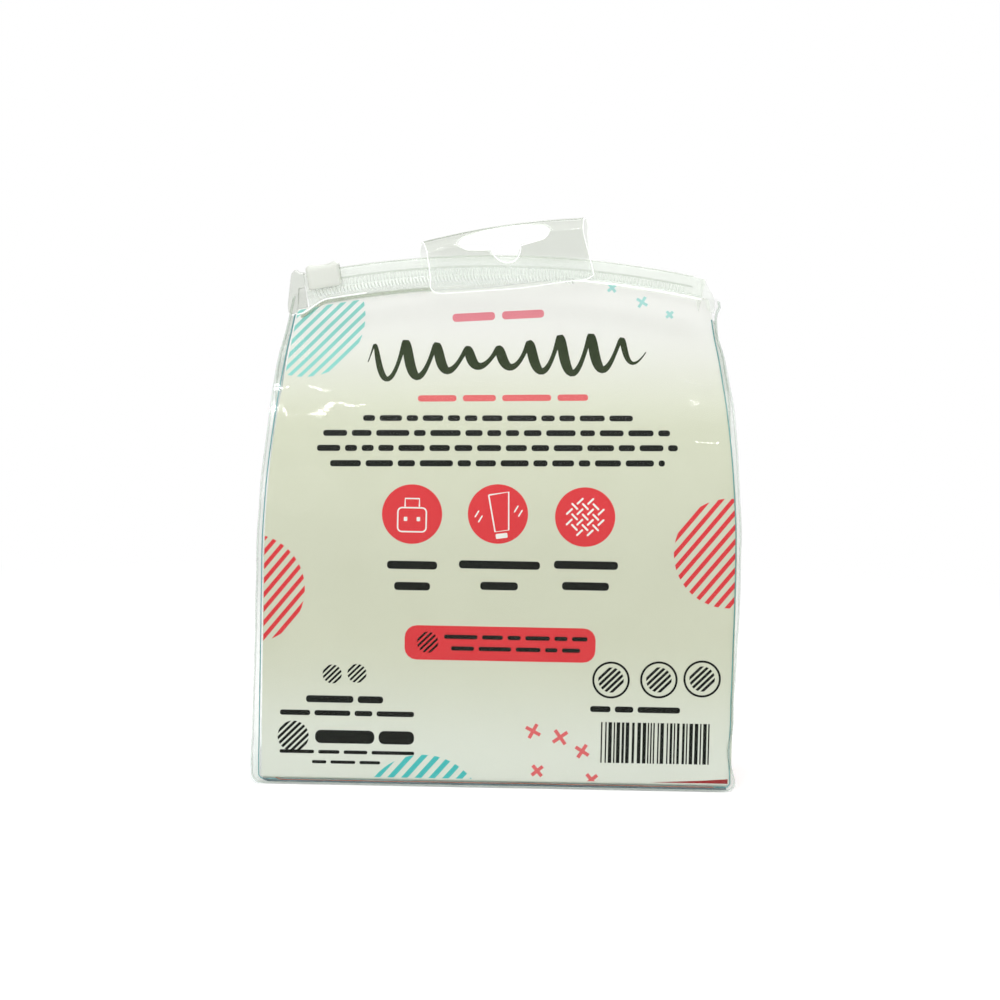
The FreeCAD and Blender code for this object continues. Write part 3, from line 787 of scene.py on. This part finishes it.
def pressed(name, shapes, material, level=1):
    flat = bmesh.new()
    for shape in shapes:
        flat.faces.new([flat.verts.new((x, s, 0)) for x, s in shape])
    bmesh.ops.remove_doubles(flat, verts=flat.verts, dist=inkForm["merge"])
    ups = [v.co.y for v in flat.verts]
    step = inkForm["step"]
    for k in range(int(min(ups) / step), int(max(ups) / step) + 2):
        bmesh.ops.bisect_plane(flat, geom=flat.verts[:] + flat.edges[:] + flat.faces[:], dist=inkForm["cut"],
                               plane_co=(0, k * step, 0), plane_no=(0, 1, 0))
    bmesh.ops.triangulate(flat, faces=flat.faces[:])
    raised = bmesh.ops.extrude_face_region(flat, geom=flat.faces[:])
    for v in raised["geom"]:
        if isinstance(v, bmesh.types.BMVert):
            v.co.z = 1
    for v in flat.verts:
        x, s, up = v.co
        inset = inkForm["sink"] - up * (inkForm["sink"] + inkForm["rise"] * level)
        y, z = wall(s, cardNear(s, x) + inset)
        v.co = Vector((x, -y, z)) * mm
    mesh = bpy.data.meshes.new(name)
    flat.to_mesh(mesh)
    flat.free()
    return addMesh(name, mesh, material)


# Even marks that cover a range, for clipping against a curved edge piece by piece
def spanMarks(values):
    low, high = min(values), max(values)
    return spaced(low, high, max(1, math.ceil((high - low) / inkForm["mark"])))


def onCard(shapes):
    kept = []
    for shape in shapes:
        marks = spanMarks([s for _, s in shape])
        for side in (1, -1):
            for a, b in zip(marks, marks[1:]):
                xa, xb = (side * card["shift"] + cardHalf(wall(s, 0)[1]) - inkForm["side"] for s in (a, b))
                slope = (xb - xa) / (b - a)
                shape = clipped(shape, side, -slope, xa - slope * a)
        shape = clipped(shape, 0, -1, -(cardFoot + inkForm["foot"]))
        if len(shape) > 2:
            marks = spanMarks([x for x, _ in shape])
            for a, b in zip(marks, marks[1:]):
                sa, sb = cardTop(a) - inkForm["top"], cardTop(b) - inkForm["top"]
                slope = (sb - sa) / (b - a)
                shape = clipped(shape, -slope, 1, sa - slope * a)
        if len(shape) > 2:
            kept.append(shape)
    return kept


# Striped discs: middle, radius, pitch and width of the stripes, their phase and turn
stripes = {"foot": (-20.3, -8.7, 17.6, 2.94, 1.42, 0.21, 49.2),
           "top": (-56.8, 135.6, 17.6, 2.15, 1.0, 0.47, 45.0),
           "right": (64.7, 68.1, 15.6, 2.65, 1.2, 0.63, 51.0),
           "left": (-70.0, 55.6, 15.6, 2.55, 1.15, 0.68, 51.0)}
# Crosses: middle, size, width and turn
faintCrosses = ((30.6, 145.0, 3.0, 0.8, 40), (39.2, 141.1, 3.5, 0.8, 58), (45.7, 145.4, 2.8, 0.8, 45),
                (47.1, 137.7, 2.5, 0.8, 42))
softCrosses = ((10.6, 16.3, 4.6, 1.0, 62), (18.3, 14.7, 5.0, 1.0, 36), (24.6, 10.8, 4.4, 1.0, 58),
               (12.0, 4.9, 4.0, 1.0, 40), (27.4, 2.6, 4.2, 1.0, 40))
# Rows of words: start, end and height on the card, and the bars' own height in the small rows
textRows = ((-39.1, 37.1, 106.2), (-50.2, 47.6, 101.6), (-51.8, 49.8, 97.1), (-48.0, 46.2, 92.6))
captionRows = ((-31.4, -17.3, 63.1), (-29.3, -19.2, 57.1), (-11.2, 11.6, 63.6), (-5.1, 5.5, 57.6),
               (15.5, 33.5, 64.0), (17.9, 31.1, 58.0))
smallRows = ((-53.7, -31.9, 24.4, 2.0), (-61.0, -23.1, 20.4, 1.5), (-51.0, -23.0, 13.6, 3.8),
             (-61.0, -22.9, 9.2, 1.0), (-51.8, -32.5, 6.3, 0.9), (26.6, 52.0, 23.0, 1.7))
tilt = {"top": 4.0, "subtitle": 1.6, "lines": 1.1}
bars = {"start": 29.8, "end": 60.8, "low": 7.6, "top": 19.3, "widths": (0.4, 0.4, 0.7, 1.0),
        "gaps": (0.4, 0.5, 0.8)}
pictures = {"bag": (-24.6, 77.6), "tube": (-0.5, 78.1), "weave": (24.0, 77.7)}
pictureForm = {"radius": 8.45, "line": 0.42}

tealPrint = hatched(*stripes["foot"])
sheenedTealPrint = hatched(*stripes["top"])
faintPrint = [bar for values in faintCrosses for bar in crossMark(*values)]
coralPrint = hatched(*stripes["right"]) + hatched(*stripes["left"])
softPrint = [bar for values in softCrosses for bar in crossMark(*values)]
softPrint += turned(wordBars(-23.8, 24.4, 112.7, 2.0, 8.0, 17.0, 1.8), tilt["subtitle"])
coralPrint += [disc(x, s, pictureForm["radius"]) for x, s in pictures.values()]
coralPrint.append(roundBar(-26.1, 27.7, 36.2, 46.0, 3.4))
pinkPrint = turned(wordBars(-14.5, 11.5, 136.4, 2.3, 11.0, 13.0, 2.0), tilt["top"])
darkPrint = []
for x0, x1, s in textRows:
    darkPrint += turned(wordBars(x0, x1, s, 1.8), tilt["lines"])
for x0, x1, s in captionRows:
    darkPrint += wordBars(x0, x1, s, 2.3, 8.0, 24.0, 1.8)
for x0, x1, s, high in smallRows:
    darkPrint += wordBars(x0, x1, s, high, 3.0 + high, 7.0 + 4 * high, 1.2)
darkPrint += hatched(-57.2, 13.6, 4.4, 1.3, 0.75)
for x, s in ((-46.4, 31.6), (-39.4, 31.9)):
    darkPrint += hatched(x, s, 2.7, 1.1, 0.6)
for x, s in ((32.3, 31.4), (45.8, 31.7), (58.0, 32.2)):
    darkPrint += stroke(disc(x, s, 5.0, 40), 0.6, True) + hatched(x, s, 3.6, 1.3, 0.75)
barX = bars["start"]
while barX < bars["end"]:
    barEnd = barX + draw.choice(bars["widths"])
    darkPrint.append([(barX, bars["low"]), (barEnd, bars["low"]), (barEnd, bars["top"]), (barX, bars["top"])])
    barX = barEnd + draw.choice(bars["gaps"])

# White pictures on the coral discs: a small bag, a tube with drops beside it, and a weave
whitePrint = stroke(roundBar(-28.6, -20.6, 72.6, 79.4, 1.2), pictureForm["line"], True)
whitePrint += stroke([(-26.6, 79.7), (-26.6, 82.0), (-22.6, 82.0), (-22.6, 79.7)], pictureForm["line"])
whitePrint += [roundBar(x - 0.5, x + 0.5, 75.6, 76.8, 0.2) for x in (-26.4, -22.8)]
tubeLine = [(-3.2, 83.4), (2.4, 84.4), (2.6, 73.6), (-1.2, 73.0), (-3.2, 83.4)]
whitePrint += stroke(tubeLine, pictureForm["line"])
whitePrint += [roundBar(-1.0, 2.3, 71.2, 72.6, 0.3, 8.0)]
whitePrint += [roundBar(x - 1.1, x + 1.1, s - 0.2, s + 0.2, 0.18, 60)
               for x, s in ((-5.4, 76.6), (-6.4, 78.0), (4.6, 79.6), (5.8, 78.4))]
weave = {"pitch": 2.1, "reach": 6.6, "long": 1.25, "wide": 0.28, "round": 0.26}
weaveX, weaveS = pictures["weave"]
diagonal = math.sqrt(0.5) * weave["pitch"]
for i in range(-2, 3):
    for j in range(-2, 3):
        cx, cy = weaveX + (i - j) * diagonal, weaveS + (i + j) * diagonal
        if abs(i) + abs(j) < 4 and math.hypot(cx - weaveX, cy - weaveS) < weave["reach"]:
            whitePrint.append(roundBar(cx - weave["long"], cx + weave["long"], cy - weave["wide"],
                                       cy + weave["wide"], weave["round"], 45 if (i + j) % 2 else -45))
pillDark = wordBars(-15.0, 25.4, 42.9, 1.2) + wordBars(-13.0, 23.4, 39.6, 1.2)
pillDark += hatched(-19.6, 41.2, 3.0, 1.2, 0.6)
deepPrint = [[(44.0, 2.2), (66.0, 2.2), (66.0, 3.5), (58.0, 2.9)]]

pressed("cardTealInk", onCard(tealPrint), solid["teal"])
pressed("cardDeepInk", onCard(deepPrint), solid["deep"])
pressed("cardTealSheenInk", onCard(sheenedTealPrint), solid["tealPaintedSheen"])
pressed("cardFaintInk", onCard(faintPrint), solid["tealFaint"])
pressed("cardCoralInk", onCard(coralPrint), solid["coral"])
pressed("cardSoftInk", onCard(softPrint), solid["coralPale"])
pressed("cardWaveInk", brushWave(), solid["olive"])
pressed("cardPinkInk", pinkPrint, solid["pink"])
pressed("cardDarkInk", darkPrint, solid["dark"])
pressed("cardWhiteInk", whitePrint, solid["white"], 2)
pressed("cardPillInk", pillDark, solid["dark"], 2)
print("print made")

# Ribs of the weld: two rows of small slanted bars along the zip, on its web and on the film's edge
ribs = {"pitch": 0.97, "start": 53.5, "low": 0.55, "top": 0.3, "slant": 0.5, "bow": 0.3, "rise": 0.2,
        "sink": 0.04, "rows": 5, "high": 3.45, "deep": 6.9}
# Rows of ribs: drop from and to, depth of the floor where it isn't the film, and reach to the right
ribRows = {"WebRibs": (3.45, 5.15, 1.64, 52.0), "FilmRibs": (5.35, 6.9, None, 20.0)}


def filmFace(side, x, drop):
    return pouch["topDepth"] + (bulge(x, topS(x, drop)) if side < 0 else 0.0)


def ribRow(name, side, first, final, floor, reach):
    verts, faces = [], []
    profile = ((-ribs["low"] / 2, 0), (-ribs["top"] / 2, 1), (ribs["top"] / 2, 1), (ribs["low"] / 2, 0))
    for n in range(int((reach + ribs["start"]) / ribs["pitch"]) + 1):
        middle = ribs["pitch"] * n - ribs["start"]
        faces += ringFaces(ribs["rows"], len(profile), len(verts))
        for drop in spaced(first, final, ribs["rows"] - 1):
            t = (drop - ribs["high"]) / (ribs["deep"] - ribs["high"])
            x = middle + ribs["slant"] * (t - 0.5) - ribs["bow"] * 4 * t * (1 - t)
            out = filmFace(side, x, drop) if floor is None else floor
            for across, up in profile:
                y = side * (out - ribs["sink"] + ribs["rise"] * up)
                verts.append((x + across, y, zipZ(x + across, drop)))
    return addPiece(name, verts, faces, film["weld"], 30.0)


# Beads on the film: places across, drop, its fall at the left end, sink, radius and finish. The flange's edge
# bead is a painted highlight line, and the flange's shade bead is a band of painted shade below it
beads = {"FilmBead": (-54.0, 56.0, 5.28, 0.0, 0.2, 0.2, "weld"),
         "FlangeEdgeHighlight": (-58.5, -39.0, 8.1, 2.8, -0.06, 0.16, "cut"),
         "FlangeShade": (-57.5, -20.6, 8.95, 2.8, 0.2, 0.42, "dusk")}
# A painted highlight line along the card's top edge, on the right
cardGlint = (20.0, 56.0, 5.95, 0.0, -0.02, 0.24, "cut")
beadForm = {"steps": 80, "fall": (50, 8)}
# Painted shade lines along the rails: drop and depth
railShadeLines = {"RailTopLine": (0.2, 1.9), "RailFootLine": (3.05, 2.2)}
railForm = {"start": -52.0, "end": 53.6, "steps": 96, "radius": 0.12}


def zipBead(name, side, start, end, drop, fall, sink, radius, finish):
    points = []
    for x in spaced(start, end, beadForm["steps"]):
        below = drop + fall * ramp(-x, *beadForm["fall"])
        points.append((x, side * (filmFace(side, x, below) - sink), zipZ(x, below)))
    return tube(name, points, radius, film[finish])


for label, side in bothSides:
    for part, values in ribRows.items():
        ribRow(label + part, side, *values)
    for part, values in beads.items():
        zipBead(label + part, side, *values)
    for part, (drop, depth) in railShadeLines.items():
        places = spaced(railForm["start"], railForm["end"], railForm["steps"])
        points = [(x, side * depth, zipZ(x, drop)) for x in places]
        tube(label + part, points, railForm["radius"], film["shade"])
zipBead("backCardGlint", -1, *cardGlint)
print("weld ribs made")

# Ends of the zip, outlined across and up: a rounded bulb on the left, a squashed, slanting end on the right
zipEnds = {"left": [(-60.54, 141.96), (-60.33, 143.1), (-59.77, 143.79), (-58.92, 143.87), (-58.23, 143.26),
                    (-56.78, 143.2), (-56.62, 139.19), (-58.2, 138.59), (-58.31, 135.46), (-58.64, 132.03),
                    (-59.91, 131.44), (-61.06, 131.99), (-61.34, 133.98), (-60.95, 137.97)],
           "right": [(55.87, 143.79), (56.81, 143.58), (57.47, 142.4), (58.22, 140.85), (59.11, 139.59),
                     (59.85, 137.47), (59.96, 135.48), (59.6, 133.9), (58.69, 134.17), (57.74, 135.43),
                     (57.26, 137.42), (56.15, 138.68)]}
zipFoot = [(-58.43, 138.87), (-56.54, 139.05), (-55.45, 132.37), (-58.63, 131.6)]
zipEndForm = {"half": 2.9, "foot": 2.2, "rise": (134.0, 4.0), "round": 0.4, "flat": 0.75, "thin": 0.45}


def zipEnd(name, outline, material, thin=1.0):
    form = zipEndForm
    count = len(outline)
    verts = []
    for depth, inset in ((-1, form["round"]), (-form["flat"], 0), (form["flat"], 0), (1, form["round"])):
        for k, (x, z) in enumerate(outline):
            (x0, z0), (x1, z1) = outline[k - 1], outline[(k + 1) % count]
            shift = inset / math.hypot(x1 - x0, z1 - z0)
            half = form["foot"] + (form["half"] - form["foot"]) * ramp(z, *form["rise"])
            verts.append((x + (z1 - z0) * shift, depth * half * thin, z - (x1 - x0) * shift))
    return addPiece(name, verts, ringFaces(4, count), material, 50.0)


for label, material in (("left", film["stop"]), ("right", film["zip"])):
    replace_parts(zipEnd(label + "ZipEnd", zipEnds[label], material), label + "_end_stop")
zipEnd("leftZipFoot", zipFoot, film["stop"], zipEndForm["thin"])
print("zip ends made")

# Slider: the CAD solid with its edges softened
sliderForm = {"voxel": 0.3, "passes": 8}


def softSlider():
    source = addObject("sliderSource", nodes["zip_slider"].data.copy())
    remesh = source.modifiers.new("remesh", "REMESH")
    remesh.mode = "VOXEL"
    remesh.voxel_size = sliderForm["voxel"] * mm
    soften = source.modifiers.new("soften", "SMOOTH")
    soften.iterations = sliderForm["passes"]
    mesh = bpy.data.meshes.new_from_object(source.evaluated_get(bpy.context.evaluated_depsgraph_get()))
    bpy.data.objects.remove(source)
    return addMesh("softSlider", mesh, solid["slider"], 60.0, "slider")


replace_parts(softSlider(), "zip_slider")
print("slider made")

# Hang tab: the CAD loop, divided finely, leaning further with height and crowned in the middle
tab = {"pivot": (2.6, 138.0), "tilt": -5.0, "lean": -4.5, "leanRun": (3.0, 11), "half": 23.3, "crown": 0.55,
       "droop": 1.25, "flare": 0.04, "foot": 2.2, "loop": 4.9, "bend": (1.0, 3.0), "fold": 14.4,
       "corner": 3.0, "edge": 0.12, "rim": 0.15, "slotRim": 0.17, "crest": (1.2, 4.78),
       "cuts": ((0, 0.0016), (2, 0.0013)), "merge": 0.000002, "near": 1e-7}
# How the soft tab leaves the CAD loop: one leg drifts, the other stands off, feet and wings lift
tabSoft = {"wave": 0.03, "spans": (14, 20, 9), "off": 0.8, "offRun": (1.0, 3), "lift": 1.9, "liftRight": 1.2,
           "liftTop": 6, "liftWide": 20, "drift": 1.8, "driftTop": 19, "wing": 1.6, "wingWide": 12,
           "wingUp": (8, 4), "wingDown": (14, 4)}
hangSlot = {"half": 13.2, "low": 13.2, "top": 19.0, "round": 2.2, "high": 15.94, "end": 81, "arch": 73.2,
            "dip": 4.45, "dipZ": 13.75, "dipTurns": (187, 353)}


# Place of a point of the loop, given across, through and up from the tab's foot
def tabPlace(x, y, h):
    soft = tabSoft
    up = ramp(h, *tab["leanRun"])
    x -= soft["drift"] * smoothStep(y / tab["loop"]) * max(0.0, 1 - h / soft["driftTop"])
    wing = soft["wing"] * min(1.0, (x / soft["wingWide"]) ** 2)
    wing *= ramp(h, *soft["wingUp"]) * (1 - ramp(h, *soft["wingDown"]))
    if y < 0:
        y -= soft["off"] * (1 - ramp(h, *soft["offRun"]))
    foot = soft["lift"] + soft["liftRight"] * smoothStep(x / soft["liftWide"])
    h += wing + (1 - smoothStep(h / soft["liftTop"])) * foot
    wide, deep, high = soft["spans"]
    y *= 1 + soft["wave"] * noise.noise((x / wide, y / deep, h / high)) * up
    h += up * (tab["crown"] - tab["droop"] * (x / tab["half"]) ** 2)
    x *= 1 + tab["flare"] * y / tab["loop"] * up
    turn = math.radians(tab["tilt"] + tab["lean"] * up)
    c, s = math.cos(turn), math.sin(turn)
    return tab["pivot"][0] + x * c + h * s, y, tab["pivot"][1] - x * s + h * c


def tabFilm():
    mesh = nodes["hang_tab"].data.copy()
    cut = bmesh.new()
    cut.from_mesh(mesh)
    bmesh.ops.remove_doubles(cut, verts=cut.verts, dist=tab["merge"])
    low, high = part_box("hang_tab")
    for axis, step in tab["cuts"]:
        at = low[axis] + step / 2
        while at < high[axis]:
            spot, way = [0, 0, 0], [0, 0, 0]
            spot[axis], way[axis] = at, 1
            bmesh.ops.bisect_plane(cut, geom=cut.verts[:] + cut.edges[:] + cut.faces[:], dist=tab["near"],
                                   plane_co=spot, plane_no=way)
            at += step
    turn = math.radians(tab["tilt"])
    c, s = math.cos(turn), math.sin(turn)
    for v in cut.verts:
        x, y, z = v.co / mm
        dx, dz = x - tab["pivot"][0], z - tab["pivot"][1]
        v.co = Vector(tabPlace(dx * c - dz * s, y, dx * s + dz * c)) * mm
    cut.to_mesh(mesh)
    cut.free()
    return addMesh("hangTabFilm", mesh, film["tab"], 35.0)


# The tab's depth from its foot to the fold
def tabDepth(h):
    if h > tab["fold"]:
        return math.sqrt(max(tab["loop"] ** 2 - (h - tab["fold"]) ** 2, 0.0))
    return tab["foot"] + (tab["loop"] - tab["foot"]) * ramp(h, *tab["bend"])


# A quarter of the tab's cut edge, from the middle of one foot to the fold's crest
def tabQuarter(end, side):
    half, r, low = tab["half"] - tab["edge"], tab["corner"], tab["edge"]
    flat = [(x, low) for x in spaced(0, half - r, 12)[:-1]]
    flat += arc(half - r, low + r, r, spaced(-quarter, 0, 8))
    flat += [(half, h) for h in spaced(low + r, tab["fold"], 14)[1:]]
    path = [(end * x, side * tabDepth(h), h) for x, h in flat]
    fold = arc(0, tab["fold"], tab["loop"], spaced(0, quarter, 12)[1:])
    return path + [(end * half, side * y, h) for y, h in fold]


# The hang slot's edge: round ends, an arched top and a round dip below
def slotPath():
    r, arch = hangSlot["round"], hangSlot["arch"]
    inner = hangSlot["half"] - r
    path = arc(inner, hangSlot["low"] + r, r, spaced(-quarter, 0, 6))
    path += arc(inner, hangSlot["high"], r, spaced(0, math.radians(hangSlot["end"]), 5))
    reach = path[-1][0]
    across = spaced(reach, -reach, 24)[1:-1]
    top = [(x, hangSlot["top"] - arch + math.sqrt(arch ** 2 - x * x)) for x in across]
    dip = arc(0, hangSlot["dipZ"], hangSlot["dip"], spaced(*map(math.radians, hangSlot["dipTurns"]), 16))
    return path + top + [(-x, h) for x, h in path[::-1]] + dip + path[:1]


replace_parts(tabFilm(), "hang_tab")
# Painted highlight lines along the tab's cut edge and its slot's edges
border = []
for end, side, way in ((1, -1, 1), (1, 1, -1), (-1, 1, 1), (-1, -1, -1)):
    border += tabQuarter(end, side)[::way]
tube("hangTabEdgeHighlight", [tabPlace(*p) for p in border], tab["rim"], film["cut"])
# A painted shade line along the crest of the tab's fold
crestY, crestUp = tab["crest"]
crest = [tabPlace(x, crestY, tab["fold"] + crestUp) for x in spaced(-tab["half"], tab["half"], 40)]
tube("hangTabCrestShade", crest, tab["rim"], film["shade"])
for label, side in (("near", -1), ("far", 1)):
    points = [tabPlace(x, side * tabDepth(h), h) for x, h in slotPath()]
    tube(label + "SlotEdge", points, tab["slotRim"], film["cut"])
print("tab made")

# Finish of every CAD piece that shows
dress = {"back_zip_track": film["zip"], "front_zip_track": film["zip"]}
capFinish = {"neck_seal": "seal", "cap_base": "cap", "slit_valve": "valve", "valve_retainer": "cap",
             "flip_lid": "cap"}
for label, tint in (("left", "teal"), ("middle", "white"), ("right", "coral")):
    dress[label + "_bottle"] = solid[tint + "Bottle"]
    for piece, finish in capFinish.items():
        dress[label + "_" + piece] = solid[finish]
for name, material in dress.items():
    nodes[name].data.materials.clear()
    nodes[name].data.materials.append(material)
print("CAD pieces dressed")

# Stage: a pale floor that keeps the shadow, white behind, and soft studio light
stage = {"half": 6.0, "drop": 0.0002, "floor": (0.93, 0.93, 0.93, 1), "rough": 0.9, "lift": 0.3,
         "ambient": 0.36, "near": 0.16, "far": 0.42}


# 1 for what the camera sees, straight, mirrored or through clear film
def pathMask(tree):
    rays = addNode(tree, "ShaderNodeLightPath").outputs
    mask = rays["Is Camera Ray"]
    for kind in ("Is Glossy Ray", "Is Transmission Ray"):
        mask = addNode(tree, "ShaderNodeMath", [(mask, 0), (rays[kind], 1)], operation="MAXIMUM").outputs[0]
    return mask


floorMesh = bpy.data.meshes.new("floor")
h = stage["half"]
floorMesh.from_pydata([(-h, -h, 0), (h, -h, 0), (h, h, 0), (-h, h, 0)], [], [(0, 1, 2, 3)])
floor = addObject("floor", floorMesh)
floor.location.z = -stage["drop"]
floorMaterial, floorTree, floorShader = newMaterial("floorPale")
setInputs(floorShader, {"Base Color": stage["floor"], "Roughness": stage["rough"], "Specular IOR Level": 0.0,
                        "Emission Color": (1, 1, 1, 1)})
seen = pathMask(floorTree)
glow = addNode(floorTree, "ShaderNodeMath", [(seen, 0)], operation="MULTIPLY")
glow.inputs[1].default_value = stage["lift"]
floorTree.links.new(glow.outputs[0], floorShader.inputs["Emission Strength"])
# away from the object the floor fades into the white behind it
place = addNode(floorTree, "ShaderNodeTexCoord").outputs["Object"]
reach = addNode(floorTree, "ShaderNodeVectorMath", [(place, 0)], operation="LENGTH").outputs["Value"]
fade = addSpan(floorTree, reach, {"From Min": stage["near"], "From Max": stage["far"]}, "SMOOTHSTEP")
share = addNode(floorTree, "ShaderNodeMath", [(fade, 0), (seen, 1)], operation="MULTIPLY")
white = addNode(floorTree, "ShaderNodeEmission")
blend = addNode(floorTree, "ShaderNodeMixShader", [(share.outputs[0], "Fac"), (floorShader.outputs[0], 1),
                                                   (white.outputs[0], 2)])
floorTree.links.new(blend.outputs[0], floorTree.nodes["Material Output"].inputs["Surface"])
floorMesh.materials.append(floorMaterial)
floor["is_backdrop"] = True

world = bpy.data.worlds.new("studio")
scene.world = world
world.use_nodes = True
worldTree = world.node_tree
level = addSpan(worldTree, pathMask(worldTree), {"To Min": stage["ambient"], "To Max": 1.0})
background = worldTree.nodes["Background"]
background.inputs["Color"].default_value = (1, 1, 1, 1)
worldTree.links.new(level, background.inputs["Strength"])

# Lamps: place, aim and size in metres, watts and turn; those below the small size only mirror in the film
lamps = {"overhead": ((-0.15, -0.25, 1.1), (0, 0, 0.06), (1.1, 1.1), 5.0, 0.0),
         "front": ((-0.55, -1.25, 0.55), (0, 0, 0.08), (0.9, 0.9), 5.2, 0.0),
         "right": ((1.1, -0.35, 0.5), (0, 0, 0.08), (0.8, 0.8), 2.0, 0.0),
         "behind": ((0.3, 1.1, 0.8), (0, 0, 0.08), (0.9, 0.9), 6.5, 0.0),
         "strip": ((0.0, -0.32, 1.15), (0, 0, 0.14), (0.8, 0.03), 1.6, 0.0),
         "streak": ((-0.127, -0.537, 0.951), (-0.05, -0.011, 0.106), (0.125, 0.011), 0.45, 82.0),
         "glint": ((0.217, -0.432, 1.0), (0.055, -0.009, 0.109), (0.03, 0.02), 0.14, 0.0),
         "dash": ((0.19, -0.706, 0.808), (0.06, -0.0146, 0.0985), (0.05, 0.012), 0.14, 0.0)}
smallLamp = 0.2
for name, (place, aim, size, power, turn) in lamps.items():
    data = bpy.data.lights.new(name, "AREA")
    data.shape = "RECTANGLE" if size[0] > size[1] else "ELLIPSE"
    data.size, data.size_y = size
    data.energy = power
    light = addObject(name, data)
    light.location = place
    lookAlong(light, Vector(aim) - Vector(place), turn)
    light.visible_diffuse = max(size) > smallLamp
scene.cycles.transparent_max_bounces = 32
print("stage made")

low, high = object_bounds()
